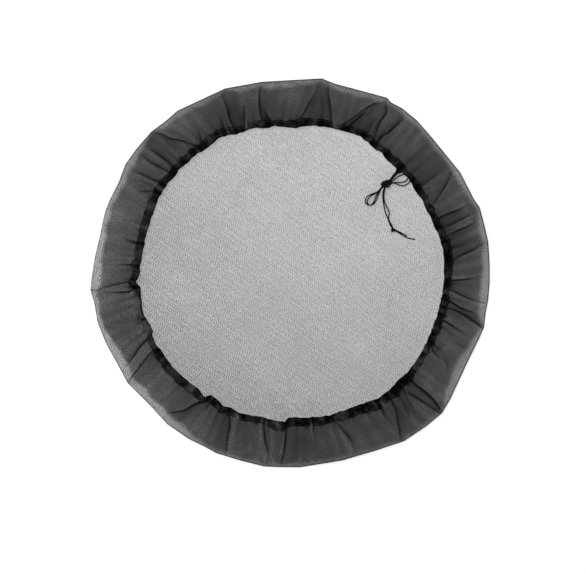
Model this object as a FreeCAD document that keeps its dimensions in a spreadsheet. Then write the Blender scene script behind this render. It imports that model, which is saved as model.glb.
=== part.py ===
import FreeCAD, Part

import math
import os

# Round netting cover, lying on its flat panel with the gathered skirt turned inwards over it.
# A drawstring runs in the hem of the skirt, and its two ends are tied in a bow over the mouth.
# Millimetres and degrees. The origin is the middle of the lying face, and +Z points out of the mouth.

sizes = [
    ("cover_radius", 300.0, "middle to the folded edge, before the edge's own unevenness"),
    ("mouth_radius", 226.0, "middle to the inner edge of the hem, before its unevenness"),
    ("panel_thick", 0.8, "netting of the flat panel"),
    ("skirt_thick", 0.9, "netting of the skirt, gathered"),
    ("roll_radius", 4.5, "outside radius where the netting turns up at the edge"),
    ("crown_rise", 3.2, "how far the skirt bulges over the line from edge to hem"),
    ("fold_half_width", 3.6, "crest to valley of a crease, along the hem"),
    ("fold_crest", 0.8, "rise of the netting beside a crease"),
    ("hem_lift", 6.0, "underside of the hem over the panel"),
    ("hem_width", 13.0, "hem casing, measured towards the middle"),
    ("hem_height", 4.2, "hem casing, top to bottom"),
    ("hem_nose", 1.6, "how far the casing's folded inner edge stands out"),
    ("hem_wall", 0.7, "folded netting round the drawstring"),
    ("cord_diameter", 1.8, "drawstring"),
    ("cord_clearance", 0.3, "between the cord and what it lies on"),
    ("exit_angle", 43.3, "where the cord leaves the hem, from +X"),
    ("exit_spread", 6.0, "between the two ends of the cord as they leave the hem"),
    ("exit_depth", 1.5, "swing line of the loose ends, from the hem's inner edge"),
    ("exit_side_gap", 0.9, "cord to the ends of the slit that it leaves through"),
    ("bow_knot_length", 17.0, "core of the bow knot"),
    ("bow_knot_width", 8.4, "core of the bow knot"),
    ("bow_knot_height", 6.6, "core of the bow knot"),
    ("bow_wrap_radius", 3.8, "middle line of the doubled cord that wraps the bow knot"),
    ("bow_knot_turn", 20.0, "bow knot, turned from +X"),
    ("tail_knot_length", 7.6, "knot in the two tails"),
    ("tail_knot_width", 6.8, "knot in the two tails"),
    ("tail_knot_height", 4.6, "knot in the two tails"),
    ("tail_knot_turn", -20.0, "tail knot, turned from +X"),
]

# Corners of the folded edge: angle, and millimetres beyond the cover's radius.
rim_corners = [
    (2.5, 0.0), (9.0, 0.8), (19.3, 0.5), (30.5, -3.9), (44.0, -5.8), (55.7, -1.6), (61.1, 0.4),
    (80.7, -4.4), (98.4, -9.7), (110.4, -6.4), (119.2, -7.1), (134.6, -2.2), (146.8, -3.4),
    (152.0, -7.9), (161.6, -6.8), (168.9, -8.9), (175.0, -5.7), (185.0, 1.0), (188.6, -2.4),
    (194.5, -1.8), (208.7, -6.8), (214.0, -5.8), (223.2, -11.0), (238.6, -8.2), (247.6, -7.8),
    (262.3, -7.8), (273.2, -8.5), (285.5, -8.8), (295.9, -4.8), (304.1, 4.5), (317.4, 9.9),
    (333.7, -2.2), (344.5, 2.1), (352.3, -0.2),
]

# Inner edge of the hem: angle, and millimetres beyond the mouth's radius.
hem_points = [
    (3.4, 6.3), (14.0, 5.1), (23.4, 1.2), (33.6, -0.1), (38.9, 0.6), (47.6, -1.7), (54.9, -1.5),
    (60.5, 3.2), (71.5, 1.0), (83.5, -3.5), (88.1, -6.4), (96.3, -3.6), (106.3, -0.6),
    (117.5, 2.4), (124.6, -0.4), (131.0, 2.4), (148.0, 3.0), (160.1, -0.4), (168.3, -1.8),
    (177.0, 0.6), (183.2, 5.0), (187.0, 0.4), (193.0, 3.2), (202.8, -2.0), (208.1, 2.4),
    (218.0, 0.9), (230.9, -3.8), (237.0, -5.8), (243.2, -2.6), (251.0, -3.2), (259.0, -5.4),
    (266.0, -3.0), (271.5, -8.6), (281.7, -5.4), (295.1, -4.0), (304.3, 2.6), (318.4, 4.4),
    (333.6, 3.3), (349.9, 4.1),
]

# Main creases of the skirt: angle at the hem, angle at the folded edge, and depth.
creases = [
    (4.6, 9.0, 2.4), (20.6, 21.6, 2.4), (57.6, 57.6, 2.4), (74.6, 77.0, 2.4), (87.4, 83.5, 1.6),
    (100.5, 98.4, 2.4), (112.2, 112.6, 2.4), (127.4, 132.4, 2.2), (138.4, 139.2, 2.4),
    (177.0, 177.2, 1.2), (184.4, 185.0, 2.6), (203.8, 208.7, 2.4), (209.6, 214.0, 2.4),
    (234.6, 230.4, 2.4), (247.2, 250.4, 2.4), (259.6, 262.3, 2.2), (268.4, 267.4, 2.6),
    (288.0, 289.4, 1.6), (316.4, 317.4, 2.6), (334.0, 330.4, 1.8), (348.0, 344.5, 2.4),
    (354.6, 352.3, 2.0),
]

# Routes of the loose drawstring, from the middle of the slit that it comes out of: x, y, and how far
# the cord is lifted from lying on the panel.
# Each end runs from the hem to the bow knot, round both loops, and down to the tail knot and its tip.
cord_lead_a = [(-7.8, -4.3, 6.0), (-12.9, -10.7, 5.0), (-17.5, -17.1, 4.2)]
cord_lead_b = [(-4.3, -7.3, 6.4), (-10.1, -12.0, 6.3), (-15.9, -17.7, 6.0)]
left_loop_outer = [
    (-25.1, -22.9, 1.7), (-34.7, -30.7, 0.4), (-44.1, -35.7, 0.0), (-51.5, -42.7, 0.0),
    (-53.3, -50.0, 0.0), (-47.8, -54.5, 0.0), (-39.2, -51.9, 0.0), (-32.8, -43.7, 0.2),
    (-25.2, -26.7, 2.1),
]
left_loop_inner = [
    (-26.5, -22.1, 4.2), (-34.5, -32.8, 2.7), (-42.6, -37.9, 1.0), (-49.0, -44.0, 0.1),
    (-50.6, -49.0, 0.0), (-46.6, -51.9, 0.0), (-40.9, -49.5, 0.1), (-35.5, -42.9, 1.0),
    (-24.3, -23.3, 4.6),
]
right_loop_outer = [
    (-15.3, -17.7, 1.8), (-4.4, -7.3, 0.6), (3.7, -4.6, 0.2), (10.9, -7.9, 0.0),
    (13.6, -15.0, 0.0), (9.2, -21.3, 0.0), (1.3, -23.7, 0.0), (-15.1, -21.3, 1.4),
]
right_loop_inner = [
    (-16.7, -19.5, 4.0), (-4.5, -10.4, 2.0), (3.1, -7.4, 0.9), (9.2, -9.7, 0.4),
    (11.1, -14.7, 0.2), (7.5, -19.0, 0.2), (0.9, -21.1, 0.7), (-13.9, -20.7, 3.2),
]
cord_tail_a = [
    (-22.1, -23.9, 2.2), (-25.4, -38.0, 0.2), (-24.1, -49.5, 0.0), (-22.1, -60.1, 0.0),
    (-16.3, -77.3, 0.0), (-11.6, -88.0, 0.7),
]
cord_tail_b = [
    (-19.5, -23.7, 2.6), (-23.1, -38.1, 0.2), (-21.4, -47.3, 0.0), (-17.3, -55.7, 0.0),
    (-15.3, -64.3, 0.0), (-15.1, -72.5, 0.0), (-9.1, -87.5, 0.7),
]
cord_tip_short = [(-7.5, -89.2, 0.7), (-3.8, -90.0, 0.1), (3.2, -92.0, 0.0), (9.9, -95.5, 0.0)]
cord_tip_long = [
    (-9.3, -91.9, 0.7), (-4.2, -92.6, 0.1), (3.3, -94.7, 0.0), (15.1, -101.4, 0.0),
    (23.3, -103.3, 0.0),
]
bow_knot_middle = (-20.8, -20.9)
tail_knot_middle = (-10.3, -90.0)

cord_sides = 6
knot_sides = 8
knot_stations = (-1.0, -0.6, 0.0, 0.6, 1.0)  # shares of the knot's half length
knot_end_share = 0.86  # how near a knot's ends come to closing
wrap_sections = 12
wrap_lean = 0.5
drawstring_run = 48.0  # longest straight run of the drawstring inside the hem
exit_turn_runs = [(0.8, 0.0), (3.6, 3.6), (11.0, 3.8), (25.0, 3.8)]  # along the hem, into it

doc = FreeCAD.newDocument("mesh_cover")
sheet = doc.addObject("Spreadsheet::Sheet", "Sizes")
for row, (name, value, meaning) in enumerate(sizes, start=1):
    sheet.set(f"A{row}", meaning)
    sheet.set(f"B{row}", str(value))
    sheet.setAlias(f"B{row}", name)
doc.recompute()


def size(name):
    return float(sheet.get(name))


def vector(x, y, z=0.0):
    return FreeCAD.Vector(x, y, z)


def on_circle(angle, radius):
    return vector(radius * math.cos(math.radians(angle)), radius * math.sin(math.radians(angle)))


def on_outline(points, radius, angle):
    """The point at this angle on the closed outline of straight sides through points."""
    ring = [(a, radius + extra) for a, extra in points]
    ring = [(ring[-1][0] - 360.0, ring[-1][1])] + ring + [(ring[0][0] + 360.0, ring[0][1])]
    for (a1, r1), (a2, r2) in zip(ring, ring[1:]):
        if a1 <= angle <= a2:
            before, after = on_circle(a1, r1), on_circle(a2, r2)
            ray, side = on_circle(angle, 1.0), after - before
            reach = (before.x * side.y - before.y * side.x) / (ray.x * side.y - ray.y * side.x)
            return ray * reach
    raise ValueError(f"no side at {angle}")


def rim_point(angle):
    return on_outline(rim_corners, size("cover_radius"), angle % 360.0) - middle


def hem_point(angle):
    return on_outline(hem_points, size("mouth_radius"), angle % 360.0) - middle


# The lying outline is centred on the origin.
corners = [on_circle(angle, size("cover_radius") + extra) for angle, extra in rim_corners]
middle = vector(
    (min(c.x for c in corners) + max(c.x for c in corners)) / 2,
    (min(c.y for c in corners) + max(c.y for c in corners)) / 2,
)
panel_top = size("panel_thick")
hem_middle = panel_top + size("hem_lift") + size("hem_height") / 2


def stations():
    """Sections of the skirt, as hem angle, edge angle and rise over the smooth skirt, in order."""
    half_at_hem = math.degrees(size("fold_half_width") / size("mouth_radius"))
    half_at_rim = math.degrees(size("fold_half_width") / size("cover_radius"))
    crest = size("fold_crest")
    found = []
    for at_hem, at_rim, depth in creases:
        found.append((at_hem - half_at_hem, at_rim - half_at_rim, crest))
        found.append((at_hem, at_rim, -depth))
        found.append((at_hem + half_at_hem, at_rim + half_at_rim, crest))
    folds = [(-360.0 + creases[-1][0], -360.0 + creases[-1][1])]
    folds += [(at_hem, at_rim) for at_hem, at_rim, depth in creases]
    folds += [(360.0 + creases[0][0], 360.0 + creases[0][1])]
    for angle, extra in rim_corners:
        if all(abs(angle - at_rim) > 1.5 * half_at_rim for at_hem, at_rim in folds):
            before = max(f for f in folds if f[1] < angle)
            after = min(f for f in folds if f[1] > angle)
            share = (angle - before[1]) / (after[1] - before[1])
            found.append((before[0] + share * (after[0] - before[0]), angle, 0.0))
    return sorted(found, key=lambda station: station[1])


def section_point(station, from_hem, height):
    """A point of the section's upright plane, this far outwards from the hem's inner edge."""
    inner, outer = hem_point(station[0]), rim_point(station[1])
    outwards = (outer - inner).normalize()
    return inner + outwards * from_hem + vector(0, 0, height)


def skirt_section(station):
    """The netting turns up from the panel, over a crown and down to the hem casing."""
    thick, roll = size("skirt_thick"), size("roll_radius")
    length = (rim_point(station[1]) - hem_point(station[0])).Length
    roll_end = 75.0
    roll_mid = roll_end / 2

    def rolled(radius, turned):
        across = roll - radius * math.cos(math.radians(turned))
        up = radius * math.sin(math.radians(turned))
        return section_point(station, length - across, panel_top + up)

    from_hem = (length - roll + size("hem_width")) / 2
    rise = station[2]
    crown = (panel_top + roll + hem_middle) / 2 + size("crown_rise") + rise
    wall_room = (size("hem_height") - thick) / 2 - size("hem_wall") / 2
    hem_level = hem_middle + max(-wall_room, min(wall_room, rise / 2))
    top_edge = section_point(station, size("hem_width"), hem_level + thick / 2)
    low_edge = section_point(station, size("hem_width"), hem_level - thick / 2)
    top_crown = section_point(station, from_hem, crown)
    low_crown = section_point(station, from_hem, crown - thick)
    inside = roll - thick
    return Part.Wire([
        Part.Arc(rolled(roll, 0), rolled(roll, roll_mid), rolled(roll, roll_end)).toShape(),
        Part.Arc(rolled(roll, roll_end), top_crown, top_edge).toShape(),
        Part.LineSegment(top_edge, low_edge).toShape(),
        Part.Arc(low_edge, low_crown, rolled(inside, roll_end)).toShape(),
        Part.Arc(rolled(inside, roll_end), rolled(inside, roll_mid), rolled(inside, 0)).toShape(),
        Part.LineSegment(rolled(inside, 0), rolled(roll, 0)).toShape(),
    ])


def hem_section(station, wall):
    """Flat tube of the hem with its folded inner edge, and its faces moved in by wall."""
    half = size("hem_height") / 2 - wall
    nose = size("hem_nose")
    side_low = section_point(station, size("hem_width") - wall, hem_middle - half)
    side_top = section_point(station, size("hem_width") - wall, hem_middle + half)
    nose_top = section_point(station, nose + wall / 2, hem_middle + half)
    nose_tip = section_point(station, wall, hem_middle)
    nose_low = section_point(station, nose + wall / 2, hem_middle - half)
    return Part.makePolygon([side_low, side_top, nose_top, nose_tip, nose_low, side_low])


def closed_ring(wires):
    solid, ruled, closed = True, True, True
    return Part.makeLoft(wires, solid, ruled, closed)


def run_and_arc_path(points):
    """Straight runs joined by tangent arcs, and the smallest radius among those arcs."""
    edges, radii = [], []
    start = points[0]
    for before, here, after in zip(points, points[1:], points[2:]):
        back, forth = before - here, after - here
        turn = math.pi - back.getAngle(forth)
        reach = 0.45 * min(back.Length, forth.Length)
        radius = reach / math.tan(turn / 2)
        arc_start = here + back.normalize() * reach
        arc_end = here + forth.normalize() * reach
        inwards = (back + forth).normalize()
        arc_mid = here + inwards * (radius / math.cos(turn / 2) - radius)
        edges.append(Part.LineSegment(start, arc_start).toShape())
        edges.append(Part.Arc(arc_start, arc_mid, arc_end).toShape())
        start = arc_end
        radii.append(radius)
    edges.append(Part.LineSegment(start, points[-1]).toShape())
    return Part.Wire(edges), min(radii)


def many_sided(centre, sideways, upwards, half_width, half_height, sides):
    """Corners of a closed polygon in the plane of the two directions."""
    corners_found = []
    for side in range(sides):
        turned = 2 * math.pi * side / sides
        across, up = half_width * math.cos(turned), half_height * math.sin(turned)
        corners_found.append(centre + sideways * across + upwards * up)
    return corners_found


def flat_face(points):
    return Part.Face(Part.makePolygon(points + points[:1]))


def faceted_lump(rings, closed):
    """Solid of flat faces over rings of corners, shut at both ends or run round to its start."""
    faces = []
    following = rings[1:] + rings[:1] if closed else rings[1:]
    for ring, after in zip(rings, following):
        for a, b, c, d in zip(ring, ring[1:] + ring[:1], after[1:] + after[:1], after):
            faces.append(flat_face([a, b, c]))
            faces.append(flat_face([a, c, d]))
    if not closed:
        faces += [flat_face(rings[0]), flat_face(rings[-1])]
    return Part.Solid(Part.Shell(faces))


def cord_tube(name, points):
    """Six-sided tube along the route."""
    path, least_radius = run_and_arc_path(points)
    radius = size("cord_diameter") / 2
    direction = (points[1] - points[0]).normalize()
    sideways = direction.cross(vector(0, 0, 1)).normalize()
    upwards = sideways.cross(direction)
    corners_of_cord = many_sided(points[0], sideways, upwards, radius, radius, cord_sides)
    section = Part.makePolygon(corners_of_cord + corners_of_cord[:1])
    tube = path.makePipeShell([section], True, False)
    expected = Part.Face(section).Area * path.Length
    print(f"{name}: {path.Length:.1f} long, least radius {least_radius:.1f}, "
          f"volume over section times length {tube.Volume / expected:.4f}")
    return tube


def add_shape(name, shape):
    feature = doc.addObject("Part::Feature", name)
    feature.Label = name
    feature.Shape = shape
    return feature


def make_panel():
    """Flat netting under the whole cover."""
    body = doc.addObject("PartDesign::Body", "mesh_panel")
    body.Label = "mesh_panel"
    sketch = body.newObject("Sketcher::SketchObject", "panel_outline")
    ground = [f for f in body.Origin.OriginFeatures if f.Role == "XY_Plane"][0]
    sketch.AttachmentSupport = (ground, [""])
    sketch.MapMode = "FlatFace"
    outline = [corner - middle for corner in corners]
    for here, after in zip(outline, outline[1:] + outline[:1]):
        sketch.addGeometry(Part.LineSegment(here, after), False)
    pad = body.newObject("PartDesign::Pad", "panel_netting")
    pad.Profile = sketch
    pad.setExpression("Length", "Sizes.panel_thick")
    return body


def exit_frame():
    """Middle of the slit on the hem's inner edge, the direction along the hem and that out of it."""
    here = hem_point(size("exit_angle"))
    along = (hem_point(size("exit_angle") - 1) - hem_point(size("exit_angle") + 1)).normalize()
    outwards = vector(-along.y, along.x)
    return here, along, outwards


def exit_point(sideways, outwards_by):
    here, along, outwards = exit_frame()
    return here + along * sideways + outwards * outwards_by + vector(0, 0, hem_middle)


def over_panel(points):
    """Route points given from the slit, as places of the cord's middle."""
    slit = exit_point(0, size("exit_depth"))
    lying = panel_top + size("cord_clearance") + size("cord_diameter") / 2
    return [vector(slit.x + x, slit.y + y, lying + lift) for x, y, lift in points]


def make_hem():
    """Folded hem with the tunnel for the drawstring and the slit that its ends come out of."""
    outer = closed_ring([hem_section(station, 0.0) for station in stations()])
    tunnel = closed_ring([hem_section(station, size("hem_wall")) for station in stations()])
    slit_width = size("exit_spread") + size("cord_diameter") + 2 * size("exit_side_gap")
    slit_depth = size("hem_nose") + size("exit_depth")
    slit_low = size("cord_diameter") / 2 + size("cord_clearance")
    slit = Part.makeBox(slit_width, slit_depth + 1, slit_low + size("hem_height"))
    here, along, outwards = exit_frame()
    slit.Placement = FreeCAD.Placement(
        exit_point(-slit_width / 2, -1) - vector(0, 0, slit_low),
        FreeCAD.Rotation(along, outwards, vector(0, 0, 1), "ZXY"),
    )
    return add_shape("hem_casing", outer.cut(tunnel).cut(slit))


def drawstring_route():
    """Middle of the tunnel all the way round, turned in towards the slit at both ends."""
    pocket = size("hem_width") / 2
    end_gap = size("exit_depth") + size("cord_diameter") / 2 + size("cord_clearance")
    half_spread = size("exit_spread") / 2
    ends = []
    for side in (1, -1):
        ends.append([
            exit_point(side * (half_spread + along), min(end_gap + inwards, pocket))
            for along, inwards in exit_turn_runs
        ])
    first_angle = size("exit_angle") - math.degrees(
        (half_spread + exit_turn_runs[-1][0] + drawstring_run) / size("mouth_radius"))
    last_angle = first_angle - 360.0 + 2 * (size("exit_angle") - first_angle)
    runs = math.ceil(math.radians(first_angle - last_angle) * size("mouth_radius") / drawstring_run)
    ring = []
    for step in range(runs + 1):
        angle = first_angle + (last_angle - first_angle) * step / runs
        inner = hem_point(angle)
        ring.append(inner + vector(inner.x, inner.y).normalize() * pocket + vector(0, 0, hem_middle))
    return ends[0] + ring + ends[1][::-1]


def knot_frame(place, turn, reach):
    """Middle of a knot whose underside is held just over the panel, and its three directions."""
    slit = exit_point(0, size("exit_depth"))
    height = panel_top + size("cord_clearance") + reach
    middle_of_knot = vector(slit.x + place[0], slit.y + place[1], height)
    lengthways = on_circle(turn, 1.0)
    return middle_of_knot, lengthways, vector(-lengthways.y, lengthways.x), vector(0, 0, 1)


def knot_core(name, frame):
    """Pulled-tight lump of cord, thickest in the middle."""
    middle_of_knot, lengthways, sideways, upwards = frame
    sections = []
    for station in knot_stations:
        thickness = math.sqrt(1 - (knot_end_share * station) ** 2)
        sections.append(many_sided(
            middle_of_knot + lengthways * (station * size(f"{name}_length") / 2),
            sideways, upwards,
            thickness * size(f"{name}_width") / 2, thickness * size(f"{name}_height") / 2,
            knot_sides,
        ))
    return faceted_lump(sections, closed=False)


def cord_wrap(frame, along_knot, lean):
    """One turn of cord round a knot, leaning along it."""
    middle_of_knot, lengthways, sideways, upwards = frame
    radius = size("cord_diameter") / 2
    sections = []
    for step in range(wrap_sections):
        turned = 2 * math.pi * step / wrap_sections
        outwards = sideways * math.cos(turned) + upwards * math.sin(turned)
        place = along_knot + lean * math.cos(turned)
        centre = middle_of_knot + lengthways * place + outwards * size("bow_wrap_radius")
        sections.append(many_sided(centre, outwards, lengthways, radius, radius, cord_sides))
    return faceted_lump(sections, closed=True)


def make_bow_knot():
    """Core with the doubled cord wrapped once round it, as one tied lump."""
    frame = knot_frame(bow_knot_middle, size("bow_knot_turn"),
                       size("bow_wrap_radius") + size("cord_diameter") / 2)
    knot = knot_core("bow_knot", frame)
    for side in (-1, 1):
        wrap = cord_wrap(frame, side * size("cord_diameter") / 2, wrap_lean)
        knot = knot.fuse(wrap)
    return add_shape("bow_knot", knot.Solids[0])


def make_tail_knot():
    frame = knot_frame(tail_knot_middle, size("tail_knot_turn"), size("tail_knot_height") / 2)
    return add_shape("tail_knot", knot_core("tail_knot", frame))


make_panel()
add_shape("gathered_skirt", closed_ring([skirt_section(station) for station in stations()]))
make_hem()
add_shape("drawstring", cord_tube("drawstring", drawstring_route()))

half_spread = size("exit_spread") / 2
stretches = {
    "cord_lead_a": [exit_point(-half_spread, size("exit_depth"))] + over_panel(cord_lead_a),
    "cord_lead_b": [exit_point(half_spread, size("exit_depth"))] + over_panel(cord_lead_b),
    "left_loop_outer": over_panel(left_loop_outer),
    "left_loop_inner": over_panel(left_loop_inner),
    "right_loop_outer": over_panel(right_loop_outer),
    "right_loop_inner": over_panel(right_loop_inner),
    "cord_tail_a": over_panel(cord_tail_a),
    "cord_tail_b": over_panel(cord_tail_b),
    "cord_tip_short": over_panel(cord_tip_short),
    "cord_tip_long": over_panel(cord_tip_long),
}
for name, route in stretches.items():
    add_shape(name, cord_tube(name, route))

make_bow_knot()
make_tail_knot()

doc.recompute()

nodes = [
    "mesh_panel", "gathered_skirt", "hem_casing", "drawstring", "bow_knot", "tail_knot",
    *stretches,
]
for item in doc.Objects:
    if "Invalid" in item.State or "Error" in item.State:
        raise RuntimeError(f"{item.Name} failed: {item.State}")
os.makedirs("parts", exist_ok=True)
for node in nodes:
    shape = doc.getObjectsByLabel(node)[0].Shape
    if shape.isNull() or not shape.isValid():
        raise RuntimeError(f"{node} has no valid shape")
    print(f"{node}: {len(shape.Solids)} solid, {shape.Volume:.0f} cubic millimetres")
    shape.exportStep(f"parts/{node}.step")
swing = exit_point(0, size("exit_depth"))
print(f"swing line through {swing.x:.2f}, {swing.y:.2f}, {swing.z:.2f} along {exit_frame()[1]}")
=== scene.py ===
import math

import bpy
import numpy as np
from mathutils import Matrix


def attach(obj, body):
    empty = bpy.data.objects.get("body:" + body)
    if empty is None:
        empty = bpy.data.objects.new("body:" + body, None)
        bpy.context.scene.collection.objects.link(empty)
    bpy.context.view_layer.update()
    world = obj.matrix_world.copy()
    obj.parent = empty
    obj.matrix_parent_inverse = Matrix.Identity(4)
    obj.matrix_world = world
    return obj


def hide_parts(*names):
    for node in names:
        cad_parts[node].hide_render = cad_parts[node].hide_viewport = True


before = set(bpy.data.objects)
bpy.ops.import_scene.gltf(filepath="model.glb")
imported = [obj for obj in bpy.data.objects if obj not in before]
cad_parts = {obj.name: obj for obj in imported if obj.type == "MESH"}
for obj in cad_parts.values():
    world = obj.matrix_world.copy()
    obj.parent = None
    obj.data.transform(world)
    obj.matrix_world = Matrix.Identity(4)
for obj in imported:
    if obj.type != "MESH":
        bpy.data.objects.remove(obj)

# Round netting cover lying on its flat panel, with the skirt gathered inwards on a drawstring.
# Places are in millimetres from the middle of the cover, with +Y up in the photograph. Values named
# Waves are slowest, fastest and seed of the waves round the ring; values named Noise are size and seed.

mm = 0.001
fullTurn = 2 * math.pi
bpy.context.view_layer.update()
cover = "cover"
bow = "bow"


# Camera

view = {
    "pixel": 1.502 * mm,
    "pixelsWide": 586,
    "middle": (4.2 * mm, -20.7 * mm),
    "height": 3.0,
    "sensor": 36.0,
}


def makeCamera():
    data = bpy.data.cameras.new("photo_camera")
    data.sensor_width = view["sensor"]
    data.lens = view["sensor"] * view["height"] / (view["pixel"] * view["pixelsWide"])
    camera = bpy.data.objects.new("photo_camera", data)
    camera.location = (*view["middle"], view["height"])
    bpy.context.scene.collection.objects.link(camera)
    bpy.context.scene.camera = camera


# Small helpers for meshes

def newPiece(name, mesh, material, body, replaced=()):
    mesh.materials.append(material)
    piece = bpy.data.objects.new(name, mesh)
    bpy.context.scene.collection.objects.link(piece)
    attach(piece, body)
    if replaced:
        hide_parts(*replaced)
    return piece


def meshFrom(name, places, faces):
    mesh = bpy.data.meshes.new(name)
    mesh.from_pydata([tuple(place) for place in places], [], faces)
    mesh.update()
    mesh.shade_smooth()
    return mesh


def pointValues(mesh, **values):
    for name, numbers in values.items():
        layer = mesh.attributes.new(name, "FLOAT", "POINT")
        layer.data.foreach_set("value", np.asarray(numbers, dtype=np.float32).ravel())


# Quads over a grid whose vertex number is column * rows + row.
def gridFaces(columns, rows, closedColumns=True, closedRows=False):
    faces = []
    for column in range(columns if closedColumns else columns - 1):
        following = (column + 1) % columns
        for row in range(rows if closedRows else rows - 1):
            above = (row + 1) % rows
            faces.append((column * rows + row, following * rows + row,
                          following * rows + above, column * rows + above))
    return faces


# Distance walked along a line up to each of its points.
def walkedAlong(line):
    return np.concatenate([[0.0], np.cumsum(np.linalg.norm(np.diff(line, axis=0), axis=1))])


# Shapes of spots, steps and noise

def bell(offset, width):
    return np.exp(-((offset / width) ** 2))


def smoothStep(value, low, high):
    share = np.clip((value - low) / (high - low), 0.0, 1.0)
    return share * share * (3 - 2 * share)


# Smooth noise of about unit size that closes after a full turn.
def ringNoise(angles, slowest, fastest, seed):
    random = np.random.default_rng(seed)
    waves = np.arange(slowest, fastest + 1)
    total = np.zeros_like(angles)
    for wave in waves:
        total += np.cos(np.radians(angles) * wave + random.uniform(0, fullTurn))
    return total * math.sqrt(2 / len(waves))


# Smooth noise of about unit size over the plane, in blotches about size across, in the unit of x and y.
def planeNoise(x, y, size, seed, waves=16):
    random = np.random.default_rng(seed)
    total = np.zeros_like(x)
    for each in range(waves):
        heading, start = random.uniform(0, fullTurn, 2)
        turns = math.pi / (size * random.uniform(0.7, 1.7))
        total += np.cos((x * math.cos(heading) + y * math.sin(heading)) * turns + start)
    return total * math.sqrt(2 / waves)


# Node helpers

def newMaterial(name):
    material = bpy.data.materials.new(name)
    material.use_nodes = True
    return material, material.node_tree, material.node_tree.nodes["Principled BSDF"]


# Gives a socket its value, or links it to the socket that makes the value.
def feed(tree, socket, value):
    if isinstance(value, bpy.types.NodeSocket):
        tree.links.new(value, socket)
    elif socket.type == "RGBA":
        socket.default_value = (*value, 1.0)
    else:
        socket.default_value = value


def mathNode(tree, operation, *values):
    node = tree.nodes.new("ShaderNodeMath")
    node.operation = operation
    for socket, value in zip(node.inputs, values):
        feed(tree, socket, value)
    return node.outputs["Value"]


def vectorNode(tree, operation, first, second, output="Vector"):
    node = tree.nodes.new("ShaderNodeVectorMath")
    node.operation = operation
    feed(tree, node.inputs[0], first)
    feed(tree, node.inputs[1], second)
    return node.outputs[output]


def dotNode(tree, first, second):
    return vectorNode(tree, "DOT_PRODUCT", first, second, "Value")


def noiseNode(tree, vector, scale, detail=2.0, output="Fac"):
    node = tree.nodes.new("ShaderNodeTexNoise")
    for name, value in (("Vector", vector), ("Scale", scale), ("Detail", detail)):
        feed(tree, node.inputs[name], value)
    return node.outputs[output]


def centredNoise(tree, vector, scale, detail=2.0):
    return mathNode(tree, "SUBTRACT", noiseNode(tree, vector, scale, detail), 0.5)


def rangeNode(tree, value, *limits):
    node = tree.nodes.new("ShaderNodeMapRange")
    for name, number in zip(("Value", "From Min", "From Max", "To Min", "To Max"), (value, *limits)):
        feed(tree, node.inputs[name], number)
    return node.outputs["Result"]


def mixColour(tree, share, first, second):
    node = tree.nodes.new("ShaderNodeMix")
    node.data_type = "RGBA"
    for name, value in (("Factor", share), ("A", first), ("B", second)):
        feed(tree, node.inputs[name], value)
    return node.outputs["Result"]


def attributeNode(tree, name, output="Fac"):
    node = tree.nodes.new("ShaderNodeAttribute")
    node.attribute_name = name
    return node.outputs[output]


def objectVector(tree):
    return tree.nodes.new("ShaderNodeTexCoord").outputs["Object"]


def finishShader(tree, shader, look, colour, relief=None, alpha=None):
    feed(tree, shader.inputs["Base Color"], colour)
    if alpha:
        feed(tree, shader.inputs["Alpha"], alpha)
    if relief:
        bump = tree.nodes.new("ShaderNodeBump")
        feed(tree, bump.inputs["Strength"], look["bump"])
        feed(tree, bump.inputs["Distance"], look["bumpDistance"])
        feed(tree, bump.inputs["Height"], relief)
        feed(tree, shader.inputs["Normal"], bump.outputs["Normal"])
    shader.inputs["Roughness"].default_value = look["roughness"]
    shader.inputs["Specular IOR Level"].default_value = look["specular"]


# Knit of the netting, the same in panel, skirt and hem

weave = {
    "pillars": (270.2, -72.4),  # waves per metre in x and y
    "rows": (142.4, 201.4),
    # Share of the pillars' wave, share of the rows', amount, and start in degrees.
    "motif": [(1, 0, 0.73, 0), (0, 0.5, 0.22, 0), (0, 1, 0.47, -19), (1, -0.5, 0.43, -161),
              (1, 0.5, 0.77, 139), (1, -1, 0.27, 60)],
    "holesPerWave": 4,
    "drifts": [(4.0, 0.010), (60.0, 0.0008)],  # scale of the noise, and amount
    "uneven": [(280.0, 0.75), (70.0, 0.2)],
    "reliefFrom": -2.0,
}


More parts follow.
